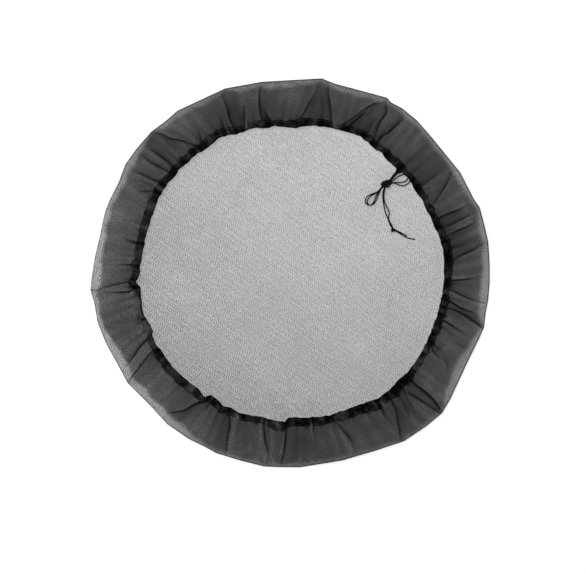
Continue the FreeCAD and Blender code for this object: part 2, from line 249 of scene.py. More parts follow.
# Group that turns a place and a thread width into the mask and the relief of knitted netting.
def makeWeaveGroup():
    group = bpy.data.node_groups.new("knittedNetting", "ShaderNodeTree")
    for name, kind in (("Place", "Vector"), ("Width", "Float"), ("Motif", "Float"), ("Softness", "Float")):
        group.interface.new_socket(name, in_out="INPUT", socket_type="NodeSocket" + kind)
    for name in ("Threads", "Relief"):
        group.interface.new_socket(name, in_out="OUTPUT", socket_type="NodeSocketFloat")
    start = group.nodes.new("NodeGroupInput")
    end = group.nodes.new("NodeGroupOutput")
    still, width, strength, soft = (start.outputs[name] for name in ("Place", "Width", "Motif", "Softness"))
    pillars, rows = np.array(weave["pillars"]), np.array(weave["rows"])

    # The cloth's grain bends slowly, and its loops shift a little
    place = still
    for scale, amount in weave["drifts"]:
        drift = noiseNode(group, still, scale, 1.0, "Color")
        centred = vectorNode(group, "SUBTRACT", drift, (0.5, 0.5, 0.5))
        place = vectorNode(group, "ADD", place, vectorNode(group, "MULTIPLY", centred, (amount,) * 3))

    def waveAt(wave, turn):
        phase = dotNode(group, place, (*(fullTurn * wave), 0.0))
        return mathNode(group, "COSINE", mathNode(group, "ADD", phase, math.radians(turn)))

    # Rows of open holes between close pillars
    motif = 0.0
    for byPillars, byRows, amount, turn in weave["motif"]:
        wave = waveAt(byPillars * pillars + byRows * rows, turn)
        motif = mathNode(group, "MULTIPLY_ADD", wave, amount, motif)
    openness = mathNode(group, "MULTIPLY", motif, strength)
    for wave in (pillars, rows):
        openness = mathNode(group, "ADD", openness, waveAt(wave * weave["holesPerWave"], 0))
    for scale, amount in weave["uneven"]:
        openness = mathNode(group, "MULTIPLY_ADD", centredNoise(group, place, scale, 1.0), amount, openness)
    openness = mathNode(group, "SUBTRACT", openness, width)

    hard = mathNode(group, "MULTIPLY", soft, -1.0)
    feed(group, end.inputs["Threads"], rangeNode(group, openness, hard, soft, 1.0, 0.0))
    feed(group, end.inputs["Relief"], rangeNode(group, openness, weave["reliefFrom"], soft, 1.0, 0.0))
    return group


def useWeave(tree, group, place, width, motif, softness):
    node = tree.nodes.new("ShaderNodeGroup")
    node.node_tree = group
    for name, value in (("Place", place), ("Width", width), ("Motif", motif), ("Softness", softness)):
        feed(tree, node.inputs[name], value)
    return node.outputs["Threads"], node.outputs["Relief"]


panelLook = {
    "warm": [(0.030, 0.018, 0.036), (0.064, 0.041, 0.074)],
    "cool": [(0.014, 0.024, 0.028), (0.034, 0.049, 0.056)],
    "flecks": 900.0,
    "tints": 16.0,
    "tintFrom": 0.45,
    "tintTo": 0.7,
    "width": -0.185,
    "widthDrift": (-0.5, -0.9, 0.0),  # change per metre, also in motifDrift
    # rimwards: the netting closes up towards the rim, a painted shade on the panel near the skirt
    "rimwards": 1.6,
    # besideHem: netting more open beside the hem, painted light that takes away the hem's shadow on the panel
    "besideHem": -0.2,
    "clouds": 9.0,
    "cloudWidth": 0.25,
    "motif": 0.245,
    "motifDrift": (-0.15, -0.08, 0.0),
    "patches": 45.0,
    "patchMotif": 0.3,
    "softness": 0.6,
    "bump": 0.6,
    "bumpDistance": 0.0003,
    "roughness": 0.75,
    "specular": 0.12,
}


def makePanelMaterial(weaveGroup):
    look = panelLook
    material, tree, shader = newMaterial("panel_netting")
    place = objectVector(tree)
    width = mathNode(tree, "ADD", dotNode(tree, place, look["widthDrift"]), look["width"])
    for value, amount in ((centredNoise(tree, place, look["clouds"], 3.0), look["cloudWidth"]),
                          (dotNode(tree, place, place), look["rimwards"]),
                          (attributeNode(tree, "besideHem"), look["besideHem"])):
        width = mathNode(tree, "MULTIPLY_ADD", value, amount, width)
    motif = mathNode(tree, "ADD", dotNode(tree, place, look["motifDrift"]), look["motif"])
    patchy = centredNoise(tree, place, look["patches"])
    motif = mathNode(tree, "MULTIPLY_ADD", patchy, look["patchMotif"], motif)
    threads, relief = useWeave(tree, weaveGroup, place, width, motif, look["softness"])
    flecks = noiseNode(tree, place, look["flecks"])
    tint = rangeNode(tree, noiseNode(tree, place, look["tints"]), look["tintFrom"], look["tintTo"], 0.0, 1.0)
    warm, cool = (mixColour(tree, flecks, *look[name]) for name in ("warm", "cool"))
    finishShader(tree, shader, look, mixColour(tree, tint, warm, cool), relief, threads)
    return material


skirtLook = {
    "thin": (0.0445, 0.0408, 0.0475),
    "thick": (0.0122, 0.0118, 0.0138),
    "fold": (0.0013, 0.0012, 0.0018),
    "lap": (0.084, 0.081, 0.088),
    "thickFrom": 0.75,  # layers of cloth
    "thickTo": 1.7,
    "closedAt": 1.3,
    "opening": 2.2,
    "mottle": [(70.0, 2.0, 0.12), (16.0, 1.0, 0.12)],  # scale, detail and amount
    "motif": 0.25,
    "softness": 0.6,
    "contrast": 1.5,
    "grain": 0.8,
    "grainScale": 420.0,
    "bump": 0.4,
    "bumpDistance": 0.0003,
    "roughness": 0.75,
    "specular": 0.12,
}


def makeSkirtMaterial(weaveGroup):
    look = skirtLook
    material, tree, shader = newMaterial("skirt_netting")
    place = attributeNode(tree, "clothPlace", "Vector")
    layers, fold = attributeNode(tree, "layers"), attributeNode(tree, "fold")
    for scale, detail, amount in look["mottle"]:
        mottle = centredNoise(tree, objectVector(tree), scale, detail)
        layers = mathNode(tree, "MULTIPLY_ADD", mottle, amount, layers)
    thin = rangeNode(tree, layers, 0.0, look["closedAt"], 1.0, 0.0)
    through = mathNode(tree, "POWER", thin, look["opening"])
    through = mathNode(tree, "MULTIPLY", through, mathNode(tree, "SUBTRACT", 1.0, fold))
    coverage = mathNode(tree, "SUBTRACT", 1.0, through)
    threads, relief = useWeave(tree, weaveGroup, place, 0.0, look["motif"], look["softness"])
    uneven = mathNode(tree, "MULTIPLY", mathNode(tree, "MULTIPLY", coverage, through), look["contrast"])
    alpha = mathNode(tree, "MULTIPLY_ADD", uneven, mathNode(tree, "SUBTRACT", threads, 0.5), coverage)
    thick = rangeNode(tree, layers, look["thickFrom"], look["thickTo"], 0.0, 1.0)
    grain = mathNode(tree, "ADD", noiseNode(tree, place, look["grainScale"]), threads)
    grain = mathNode(tree, "MULTIPLY", mathNode(tree, "SUBTRACT", grain, 1.0), look["grain"])
    colour = mixColour(tree, mathNode(tree, "ADD", thick, grain), look["thin"], look["thick"])
    # Paler lap colour where the skirt lies over the hem: painted light against the shade that the skirt's
    # netting casts on the hem.
    colour = mixColour(tree, attributeNode(tree, "pale"), colour, look["lap"])
    # Near-black fold colour on crease lines and tight bunches: painted shadow, together with the extra layers
    # there.
    colour = mixColour(tree, fold, colour, look["fold"])
    finishShader(tree, shader, look, colour, relief, alpha)
    return material


hemLook = {
    # bunched: near black where the hem is tight on the drawstring, a painted shade of its deep folds together
    # with the cloth packed there
    "bunched": (0.0003, 0.0003, 0.0006),
    "folded": (0.0122, 0.0118, 0.0142),
    "flat": (0.090, 0.087, 0.097),
    "mottle": 330.0,
    "flatMottle": 0.5,
    "tuckMottle": -0.9,
    "width": 0.2,
    "motif": 0.1,
    "softness": 0.5,
    "bump": 0.5,
    "bumpDistance": 0.0003,
    "roughness": 0.85,
    "specular": 0.03,
}


def makeHemMaterial(weaveGroup):
    look = hemLook
    material, tree, shader = newMaterial("hem_netting")
    place = attributeNode(tree, "clothPlace", "Vector")
    relief = useWeave(tree, weaveGroup, place, look["width"], look["motif"], look["softness"])[1]
    mottle = centredNoise(tree, objectVector(tree), look["mottle"], 3.0)
    flatness = mathNode(tree, "MULTIPLY_ADD", mottle, look["flatMottle"], attributeNode(tree, "pale"))
    # The bunch attribute darkens towards near black: painted shade in the bunched folds, pucker valleys and
    # under the laps, with the hem's own darker tone.
    tuck = mathNode(tree, "MULTIPLY_ADD", mottle, look["tuckMottle"], attributeNode(tree, "bunch"))
    colour = mixColour(tree, flatness, look["folded"], look["flat"])
    finishShader(tree, shader, look, mixColour(tree, tuck, colour, look["bunched"]), relief)
    return material


cordLook = {
    "dark": (0.0014, 0.0014, 0.0018),
    "light": (0.0085, 0.0085, 0.0095),
    "strandPitch": 0.0024,
    "strands": 8,
    "bump": 0.6,
    "bumpDistance": 0.0002,
    "roughness": 0.7,
    "specular": 0.06,
}


# Braid: two sets of strands crossing round the cord, by its length and its way round.
def makeCordMaterial():
    look = cordLook
    material, tree, shader = newMaterial("cord_braid")
    turns = mathNode(tree, "MULTIPLY", attributeNode(tree, "along"), fullTurn / look["strandPitch"])
    sideways = mathNode(tree, "MULTIPLY", attributeNode(tree, "around"), fullTurn * look["strands"] / 2)
    first, second = (mathNode(tree, "SINE", mathNode(tree, operation, turns, sideways))
                     for operation in ("ADD", "SUBTRACT"))
    height = rangeNode(tree, mathNode(tree, "MULTIPLY", first, second), -1.0, 1.0, 0.0, 1.0)
    # Darker in the grooves between strands and paler on their crowns: painted shade that follows the braid's
    # relief.
    finishShader(tree, shader, look, mixColour(tree, height, look["dark"], look["light"]), height)
    return material


threadLook = {
    "dark": (0.01, 0.01, 0.011),
    "light": (0.05, 0.05, 0.052),
    "flecks": 1500.0,
    "roughness": 0.6,
    "specular": 0.15,
}


def makeThreadMaterial():
    look = threadLook
    material, tree, shader = newMaterial("sewing_thread")
    flecks = noiseNode(tree, objectVector(tree), look["flecks"])
    finishShader(tree, shader, look, mixColour(tree, flecks, look["dark"], look["light"]))
    return material


# Stage: pale floor, white to the camera where no shadow falls, and soft light from above

stage = {
    "floorHalfSize": 6.0,
    "floorLevel": -0.0002,
    "floorColour": (0.82, 0.82, 0.82),
    "cameraLift": 0.3,
    "worldColour": (1.0, 1.0, 1.0),
    "worldLight": 0.62,
    "keyPower": 32.0,
    "keyPlace": (-0.9, 1.0, 2.2),
    "keySize": 1.8,
}


# 1 where the camera sees the surface itself, in a gloss or through something.
def seenRays(tree):
    path = tree.nodes.new("ShaderNodeLightPath")
    seen = mathNode(tree, "MAXIMUM", path.outputs["Is Camera Ray"], path.outputs["Is Glossy Ray"])
    return mathNode(tree, "MAXIMUM", seen, path.outputs["Is Transmission Ray"])


def makeStage():
    scene = bpy.context.scene
    half = stage["floorHalfSize"]
    corners = [(-half, -half, 0), (half, -half, 0), (half, half, 0), (-half, half, 0)]
    floor = bpy.data.objects.new("floor", meshFrom("floor", corners, [(0, 1, 2, 3)]))
    floor.location.z = stage["floorLevel"]
    scene.collection.objects.link(floor)
    material = bpy.data.materials.new("floor")
    material.use_nodes = True
    tree = material.node_tree
    tree.nodes.clear()
    output, diffuse, lift, both = (tree.nodes.new("ShaderNode" + kind) for kind in (
        "OutputMaterial", "BsdfDiffuse", "Emission", "AddShader"))
    feed(tree, diffuse.inputs["Color"], stage["floorColour"])
    feed(tree, lift.inputs["Strength"], mathNode(tree, "MULTIPLY", seenRays(tree), stage["cameraLift"]))
    feed(tree, both.inputs[0], diffuse.outputs["BSDF"])
    feed(tree, both.inputs[1], lift.outputs["Emission"])
    feed(tree, output.inputs["Surface"], both.outputs["Shader"])
    floor.data.materials.append(material)

    scene.world = bpy.data.worlds.new("studio")
    scene.world.use_nodes = True
    tree = scene.world.node_tree
    background = tree.nodes["Background"]
    feed(tree, background.inputs["Color"], stage["worldColour"])
    strength = rangeNode(tree, seenRays(tree), 0.0, 1.0, stage["worldLight"], 1.0)
    feed(tree, background.inputs["Strength"], strength)

    key = bpy.data.lights.new("key_light", "AREA")
    key.energy = stage["keyPower"]
    key.size = stage["keySize"]
    lamp = bpy.data.objects.new("key_light", key)
    lamp.location = stage["keyPlace"]
    lamp.rotation_euler = (-lamp.location).to_track_quat("-Z", "Y").to_euler()
    scene.collection.objects.link(lamp)
    scene.view_settings.view_transform = "Standard"


# Outlines read from the photograph, in millimetres from the middle

rimCorners = [
    (299, 14), (297, 47), (290, 77), (284, 99), (276, 110), (255, 151), (237, 173), (211, 205), (190, 229),
    (168, 247), (151, 256), (145, 263), (67, 284), (52, 290), (48, 292), (-42, 287), (-98, 277),
    (-102, 275), (-143, 256), (-169, 244), (-185, 230), (-209, 212), (-230, 188), (-248, 163), (-257, 138),
    (-271, 110), (-278, 93), (-286, 56), (-293, 26), (-298, -4), (-300, -26), (-295, -42), (-289, -75),
    (-277, -105), (-257, -141), (-244, -165), (-211, -198), (-184, -227), (-152, -249), (-129, -260),
    (-111, -270), (-75, -281), (-39, -290), (-11, -291), (16, -291), (78, -281), (129, -266), (171, -252),
    (204, -230), (228, -210), (240, -190), (267, -132), (284, -97), (291, -81), (293, -60), (297, -40),
    (299, -15),
]
hemCorners = [
    (232, 14), (230, 38), (224, 56), (208, 90), (198, 110), (188, 125), (177, 143), (164, 154), (151, 166),
    (141, 174), (138, 180), (129, 184), (117, 197), (105, 205), (85, 212), (72, 215), (55, 220), (25, 221),
    (7, 218), (-24, 221), (-38, 218), (-60, 217), (-71, 212), (-84, 209), (-95, 208), (-108, 202),
    (-128, 186), (-137, 181), (-142, 179), (-169, 154), (-194, 122), (-200, 110), (-212, 77), (-220, 45),
    (-226, 14), (-227, -3), (-233, -13), (-226, -21), (-224, -37), (-224, -49), (-220, -64), (-209, -82),
    (-206, -87), (-208, -94), (-202, -108), (-196, -114), (-179, -139), (-157, -160), (-140, -172),
    (-129, -186), (-120, -183), (-117, -184), (-101, -199), (-86, -204), (-75, -210), (-58, -214),
    (-42, -216), (-21, -222), (-8, -223), (-3, -217), (16, -217), (45, -216), (60, -213), (94, -201),
    (129, -189), (150, -174), (162, -160), (172, -153), (189, -130), (205, -102), (214, -81), (220, -64),
    (227, -40), (232, -10),
]
# Hem width in millimetres, by angle.
hemWidths = [
    (3, 12.4), (13, 11.4), (21, 9.4), (34, 9.3), (41, 8.3), (46, 11.8), (53, 10.6), (75, 9.4), (86, 12.8),
    (94, 8.4), (102, 11.8), (108, 8), (116, 12), (125, 11.8), (136, 8.6), (145, 10.5), (153, 11.3),
    (170, 10.3), (190, 11.2), (205, 8.2), (215, 11.3), (228, 12.4), (240, 10.5), (251, 9.5), (258, 8.6),
    (264, 12.8), (268, 13.8), (272, 13), (287, 12), (302, 16), (310, 13), (316, 15), (321, 11), (327, 10),
    (340, 11.6), (350, 11.4), (355, 8.4),
]

# Creases of the gathered skirt: the side that their soft shade lies on (1 towards higher angles),
# how far it reaches in millimetres, how dark it is, how wide the sharp line is, and the line itself:
# angle, millimetres inside the rim, and strength up to 10.
creases = [
    (1, 14, 0.35, 1.1, [(8.6, 1, 2), (8.7, 9, 4), (7.35, 20, 6), (6.6, 31, 9), (6.0, 41, 9), (4.8, 52, 6),
     (4.4, 60, 9)]),
    (-1, 12, 0.25, 1.1, [(15.5, 13, 3), (15.0, 21, 6), (14.55, 31, 9), (14.25, 41, 9), (13.8, 48, 7),
     (13.5, 58, 6)]),
    (1, 9, 0.3, 1.1, [(18.2, 8, 2), (17.85, 19, 5), (17.4, 32, 8), (16.95, 43, 8), (16.6, 53, 6),
     (16.1, 64, 6)]),
    (-1, 12, 0.4, 1.5, [(21, 12, 2), (20.7, 25, 5), (20.6, 36, 7), (20.65, 45, 8), (20.5, 55, 9),
     (20.0, 68, 7)]),
    (1, 5, 0.1, 1.6, [(32, 11, 4), (30.6, 20, 5), (29.5, 28, 7), (28.5, 36, 6), (27.45, 45, 5),
     (26.1, 56, 6)]),
    (1, 25, 0.25, 2.4, [(33.2, 22, 2), (33.75, 32, 4), (33.7, 45, 4), (33.4, 56, 4)]),
    (1, 6, 0.1, 2.6, [(9.0, 38, 1), (9.1, 48, 4), (8.6, 58, 6)]),
    (-1, 10, 0.3, 1.2, [(81.9, 18, 2), (82.8, 28, 4), (83.7, 37, 7), (84.4, 45, 8), (85.2, 52, 6),
     (86.2, 58, 6), (87.2, 66, 8)]),
    (1, 10, 0.35, 1.2, [(78.2, 8, 4), (77.8, 20, 5), (77.1, 28, 9), (76.4, 36, 9), (75.75, 44, 7),
     (75.15, 52, 7), (74.5, 58, 8)]),
    (1, 5, 0.1, 2.4, [(80.4, 16, 2), (79.8, 27, 3), (78.9, 36, 3), (78.2, 48, 3)]),
    (-1, 8, 0.35, 1.4, [(61.8, 10, 3), (63.75, 14.5, 6), (64.8, 21, 7), (65.8, 28, 6), (66.9, 37, 6),
     (67.95, 44, 6), (69.3, 51, 6), (70.6, 58, 8), (71.3, 64, 6)]),
    (-1, 6, 0.3, 1.4, [(65.1, 31, 4), (66.3, 41, 8), (67.2, 49, 8), (68.1, 56, 9), (68.5, 66, 9)]),
    (1, 5, 0.1, 2.0, [(63.2, 26, 3), (64.0, 36, 3)]),
    (1, 6, 0.2, 2.2, [(60.7, 34, 2), (61.3, 43, 4), (61.2, 52, 5), (61.0, 59, 6), (61.6, 66, 8)]),
    (1, 6, 0.2, 1.3, [(61.05, 2, 3), (60.4, 8, 3), (59.6, 12, 7), (58.95, 17, 8), (59.1, 28, 8),
     (59.25, 37, 8), (58.8, 45, 7), (58.5, 52, 5), (58.0, 60, 5)]),
    (1, 8, 0.35, 2.0, [(54, 13, 3), (54.15, 21, 5), (54.6, 32, 7), (55.0, 42, 6), (55.9, 49, 7),
     (56.1, 57, 9), (56.2, 64, 6)]),
    (1, 20, 0.2, 1.2, [(134.7, 1, 3), (133.5, 8, 6), (132.6, 15, 6), (132, 23, 8), (131.25, 29, 9),
     (130.05, 35, 8), (129, 41, 8), (128.25, 48, 6), (127.2, 55, 5), (126.3, 60, 5), (124.7, 66, 8)]),
    (1, 10, 0.3, 2.0, [(122.7, 42, 2), (123.2, 50, 5), (123.75, 58, 7), (124.2, 66, 8)]),
    (1, 6, 0.2, 2.2, [(114.0, 38, 2), (114.3, 48, 5), (114.8, 56, 6)]),
    (-1, 16, 0.4, 1.3, [(111, 8, 3), (110.85, 22, 5), (111, 32, 7), (111.35, 41, 9), (111.4, 50, 8),
     (111.2, 60, 7)]),
    (1, 8, 0.25, 1.5, [(105.3, 32, 3), (105.9, 42, 6), (106.5, 49, 7), (106.95, 56, 7), (107.4, 64, 5)]),
    (-1, 6, 0.4, 1.2, [(98.8, 1, 2), (99.4, 10, 4), (99.9, 18, 6), (100.2, 28, 8), (100.35, 36, 9),
     (100.5, 46, 7), (100.45, 56, 7), (100.3, 62, 6)]),
    (1, 6, 0.3, 2.8, [(99.4, 42, 2), (98.6, 50, 5), (97.9, 57, 8), (96.9, 63, 6)]),
    (1, 5, 0.2, 2.0, [(177.2, 36, 2), (177.0, 48, 5), (176.9, 56, 7), (177.3, 63, 8)]),
    (1, 5, 0.2, 2.4, [(167.7, 38, 2), (168.6, 46, 5), (168.9, 56, 8)]),
    (1, 5, 0.1, 2.0, [(151.8, 34, 2), (150.9, 40, 4), (150.0, 47, 5), (149.4, 53, 5)]),
    (1, 5, 0.1, 2.0, [(148.8, 22, 2), (148.2, 36, 3), (147.8, 45, 4), (147.4, 52, 4)]),
    (-1, 6, 0.2, 1.6, [(147, 14, 2), (146.5, 27, 5), (146.1, 36, 6), (145.8, 45, 5), (145.5, 52, 7),
     (145.0, 60, 7)]),
    (-1, 7, 0.3, 1.4, [(142.5, 11, 2), (141.5, 14, 4), (141.6, 25, 5), (141.4, 36, 7), (141.0, 45, 7),
     (140.5, 55, 7), (140.2, 62, 7)]),
    (-1, 9, 0.28, 1.2, [(138.5, 17, 4), (138.15, 29, 7), (137.85, 39, 8), (137.7, 48, 8), (137.55, 57, 8),
     (138.0, 65, 5)]),
    (1, 10, 0.35, 1.1, [(214.2, 1, 5), (213.45, 7, 7), (213, 13, 7), (212.25, 23, 9), (211.5, 32, 9),
     (210.75, 40, 8), (210, 49, 8), (209.5, 57, 9), (208.8, 63, 7)]),
    (-1, 7, 0.2, 1.1, [(209.5, 12, 4), (208.65, 21, 7), (207.6, 32, 9), (206.4, 41, 9), (205.5, 50, 8),
     (204.6, 59, 8), (203.4, 65, 8), (201.9, 70, 6)]),
    (1, 4, 0.2, 1.4, [(187.2, 4, 1), (186.3, 10, 2), (185.7, 14, 2), (186, 25, 3), (186.3, 38, 5),
     (186.45, 45, 8), (186.6, 57, 9), (186, 64, 9)]),
    (-1, 6, 0.3, 1.4, [(184.8, 1, 5), (185.25, 12, 5), (184.5, 19, 4), (184.05, 30, 6), (183.75, 38, 7),
     (183.45, 49, 6), (183, 58, 7)]),
    (1, 4, 0.1, 2.2, [(198.6, 55, 3), (197, 59, 6), (195, 64, 4), (192, 67, 3)]),
    (1, 8, 0.25, 1.3, [(267, 5, 4), (267.6, 13, 7), (267.9, 21, 8), (268.2, 32, 9), (268.4, 43, 9),
     (268.5, 52, 9), (268.4, 62, 8)]),
    (1, 5, 0.25, 1.4, [(263.6, 13, 3), (262.8, 24, 5), (262.05, 33, 7), (261.3, 41, 9), (260.7, 51, 9),
     (260.1, 58, 7), (259.6, 65, 6)]),
    (-1, 18, 0.35, 1.3, [(250.4, 6, 4), (249.9, 13, 6), (249.3, 25, 7), (248.85, 37, 7), (248.55, 45, 8),
     (247.8, 53, 8), (247.0, 60, 9)]),
    (1, 12, 0.35, 1.6, [(228.5, 11, 3), (230.3, 21, 6), (231.5, 27, 7), (232.5, 33, 7), (233.1, 40, 8),
     (233.85, 48, 9), (234.9, 54, 9), (236.3, 59, 9)]),
    (1, 4, 0.2, 2.2, [(238.2, 50, 2), (238.2, 57, 5), (238.3, 64, 6)]),
    (1, 10, 0.3, 2.5, [(303.6, 5, 3), (304.9, 18, 6), (305.7, 28, 5), (306.9, 38, 5), (307.8, 48, 5),
     (308.2, 58, 5)]),
    (1, 5, 0.1, 2.4, [(309.9, 27, 3), (310.2, 36, 4), (310.8, 46, 4)]),
    (-1, 8, 0.25, 1.8, [(312, 28, 2), (312.6, 38, 3), (313.2, 52, 4), (314.1, 64, 6)]),
    (1, 4, 0.1, 2.0, [(303.2, 42, 3), (303.6, 52, 5), (304.2, 60, 6)]),
    (1, 6, 0.1, 2.8, [(290.1, 8, 1), (290.1, 24, 4), (289.5, 34, 6), (288.6, 43, 5), (288, 50, 5),
     (287.1, 58, 4)]),
    (1, 5, 0.1, 2.0, [(278.6, 44, 2), (278.6, 54, 4), (278.7, 61, 6)]),
    (-1, 10, 0.2, 1.4, [(359.1, 8, 2), (358.5, 25, 4), (357.9, 38, 8), (357.65, 48, 9), (357.4, 60, 8)]),
    (1, 10, 0.2, 1.3, [(351.3, 4, 3), (351.45, 18, 5), (352.05, 32, 7), (352.8, 43, 8), (353.55, 52, 8),
     (354.3, 61, 6)]),
    (-1, 6, 0.2, 1.4, [(347.9, 20, 4), (348.15, 32, 8), (348.6, 41, 9), (349.5, 50, 9), (350.1, 59, 8)]),
    (1, 9, 0.38, 1.9, [(344.2, 3, 5), (344.7, 10, 7), (345.6, 22, 7), (346.5, 33, 8), (347.1, 44, 7),
     (347.4, 54, 7), (347.5, 62, 7)]),
    (-1, 6, 0.2, 1.6, [(340.8, 24, 3), (341.4, 34, 5), (342, 45, 7), (342.6, 55, 8), (343.2, 64, 7)]),
    (1, 4, 0.1, 2.0, [(337, 16, 3), (336.8, 32, 2)]),
    (1, 18, 0.2, 1.6, [(330.2, 38, 2), (330.75, 48, 6), (331.3, 55, 8), (333, 61, 8), (334.8, 66, 6)]),
    (-1, 10, 0.5, 1.6, [(317.6, 5, 6), (318.3, 15, 8), (318.6, 25, 9), (318.7, 36, 9), (318.6, 46, 9),
     (318.45, 56, 9), (318.45, 68, 10)]),
    (1, 5, 0.2, 1.3, [(317, 3, 7), (316.5, 16, 8), (316.05, 28, 8), (315.6, 38, 8), (315, 49, 7),
     (314.5, 57, 6)]),
    (1, 5, 0.1, 2.4, [(328, 22, 3), (330, 27, 4), (331.2, 35, 3)]),
    (1, 5, 0.1, 2.6, [(335, 44, 3), (333, 48, 3), (331.5, 50, 3)]),
]
# Painted highlights along raised streaks of the skirt, drawn as fewer layers: half width in millimetres,
# amount, and line.
highlightStreaks = [
    (2.5, 0.12, [(22.5, 16), (21.4, 22), (21.2, 30)]), (2.0, 0.16, [(16.1, 20), (15.6, 50)]),
    (2.5, 0.14, [(176.4, 15), (176.6, 55)]), (6.0, 0.12, [(161.0, 15), (161.6, 45)]),
    (3.0, 0.1, [(153.2, 26), (153.0, 50)]), (2.0, 0.12, [(115.0, 20), (115.1, 42)]),
    (2.5, 0.1, [(106.2, 60), (105.4, 62)]), (6.0, 0.24, [(210.2, 16), (209.6, 30), (208.6, 48)]),
    (3.0, 0.16, [(185.2, 16), (185.3, 50)]),
    (2.6, 0.18, [(262.2, 10), (260.9, 25), (259.6, 42), (258.9, 60)]),
    (3.0, 0.18, [(251.0, 10), (250.3, 35), (249.6, 50), (248.6, 64)]),
    (1.2, 0.12, [(249.4, 18), (248.2, 42)]), (3.0, 0.14, [(240.3, 12), (239.4, 35), (239.0, 58)]),
    (2.6, 0.14, [(302.7, 18), (303.0, 40), (303.5, 62)]), (2.0, 0.1, [(305.0, 25), (305.5, 60)]),
    (2.0, 0.12, [(289.0, 12), (288.0, 30), (286.5, 52)]), (2.2, 0.14, [(278.0, 36), (277.9, 60)]),
    (2.4, 0.1, [(323.7, 38), (323.5, 58)]), (2.4, 0.14, [(343.8, 8), (345.0, 30)]),
    (2.4, 0.1, [(349.9, 12), (349.4, 40)]), (2.4, 0.1, [(139.8, 20), (139.2, 50)]),
    (2.4, 0.1, [(142.9, 20), (142.6, 45)]), (2.6, 0.1, [(57.4, 20), (57.2, 50)]),
    (3.0, 0.12, [(72.5, 30), (73.0, 58)]), (2.4, 0.08, [(124.9, 30), (125.8, 52)]),
]
# Soft darker (or, below zero, paler) places: angle, depth, half size along and across, amount.
patches = [
    (30.3, 50, 5, 5, -0.1), (50.0, 32, 14, 14, 0.14), (42.0, 42, 20, 12, 0.12), (133.0, 38, 8, 18, 0.2),
    (136.5, 8, 7, 9, 0.3), (165.0, 28, 7, 20, 0.14), (98.9, 58, 4, 5, 0.4), (54.3, 60, 5, 3, -0.12),
    (79.2, 46, 6, 9, 0.14), (109.0, 42, 7, 16, 0.14), (192.0, 40, 28, 10, 0.1), (201.3, 55, 6, 6, -0.3),
    (220.0, 44, 5, 5, -0.08), (211.5, 52, 6, 6, 0.2), (246.5, 22, 8, 10, 0.16), (245.5, 42, 8, 8, 0.2),
    (246.0, 57, 6, 5, 0.3), (236.0, 40, 9, 14, 0.14), (242.0, 47, 10, 8, 0.12), (273.0, 35, 14, 20, 0.3),
    (279.0, 18, 9, 4, 0.12), (346.6, 20, 5, 8, 0.2), (317.6, 14, 3, 9, 0.3), (308.0, 35, 16, 22, 0.12),
    (335.0, 52, 16, 6, 0.1), (9.5, 36, 12, 20, 0.12), (188.5, 52, 10, 7, -0.06), (65.0, 50, 9, 8, 0.14),
    (257.0, 36, 8, 10, 0.08), (151.0, 58, 8, 4, 0.1),
]
# How far in from the rim the pale band of few layers reaches, by angle.
bandDepths = [
    (0, 12), (8, 10), (15, 8), (20, 6), (30, 9), (40, 7), (50, 7), (60, 6), (66, 9), (75, 9), (82, 7),
    (90, 10), (97, 12), (101, 8), (105, 9), (110, 5), (116, 8), (122, 9), (130, 8), (134, 3), (137, 5),
    (140, 7), (145, 11), (150, 11), (156, 8), (162, 8), (168, 9), (175, 11), (180, 14), (184, 14), (187, 7),
    (192, 5), (197, 8), (201, 10.5), (206, 14), (211, 13), (216, 11), (224, 11.5), (230, 14), (236, 12),
    (240, 8), (244, 5), (252, 5), (262, 5), (270, 7), (280, 7), (290, 6), (300, 6), (305, 4), (312, 6),
    (318, 4), (321, 10), (326, 15), (331, 14), (336, 12), (340, 9), (345, 4), (348, 12), (353, 14),
    (357, 14),
]
# Tight bunches of the hem on the drawstring: angle, half width in degrees, amount.
bunches = [
    (1.0, 0.7, 0.3), (5.0, 2.0, 0.8), (11.5, 0.6, 0.9), (18.0, 1.4, 0.8), (34.0, 1.2, 0.9),
    (37.5, 0.8, 0.5), (51.0, 1.0, 0.6), (58.0, 1.0, 0.4), (61.5, 1.0, 0.9), (68.5, 0.8, 0.9),
    (78.5, 1.0, 0.9), (84.0, 1.0, 0.5), (87.3, 0.6, 0.8), (98.8, 1.6, 0.9), (108.5, 0.6, 0.5),
    (111.0, 0.7, 0.9), (115.5, 0.9, 0.8), (124.2, 0.9, 0.8), (128.8, 0.8, 0.9), (133.0, 1.0, 0.6),
    (138.3, 0.8, 0.8), (140.0, 0.8, 0.6), (145.0, 0.7, 0.8), (148.6, 0.9, 0.9), (152.0, 0.4, 0.5),
    (168.7, 0.6, 0.8), (177.4, 0.5, 0.6), (181.9, 0.6, 0.9), (185.4, 0.8, 1.0), (197.3, 1.0, 1.0),
    (210.2, 1.1, 0.9), (212.4, 0.8, 0.8), (216.0, 1.0, 0.6), (226.5, 0.5, 0.5), (236.8, 0.9, 0.9),
    (239.5, 0.8, 0.7), (246.2, 0.9, 1.0), (251.8, 0.6, 0.8), (257.0, 0.8, 0.5), (260.5, 0.3, 0.6),
    (268.9, 0.8, 0.9), (272.5, 0.8, 0.6), (276.3, 0.9, 0.9), (278.8, 0.4, 0.8), (284.2, 0.8, 0.6),
    (286.4, 0.5, 0.6), (293.5, 0.5, 0.7), (301.0, 1.4, 0.4), (304.2, 0.5, 0.7), (308.2, 0.6, 0.9),
    (311.6, 1.1, 1.0), (314.0, 0.6, 0.6), (316.5, 0.5, 0.9), (318.5, 0.6, 1.0), (321.6, 0.7, 0.4),
    (333.8, 1.2, 0.6), (340.3, 0.5, 0.8), (344.6, 0.8, 1.0), (347.9, 0.6, 0.7), (350.4, 0.7, 0.9),
    (355.8, 1.2, 0.9),
]
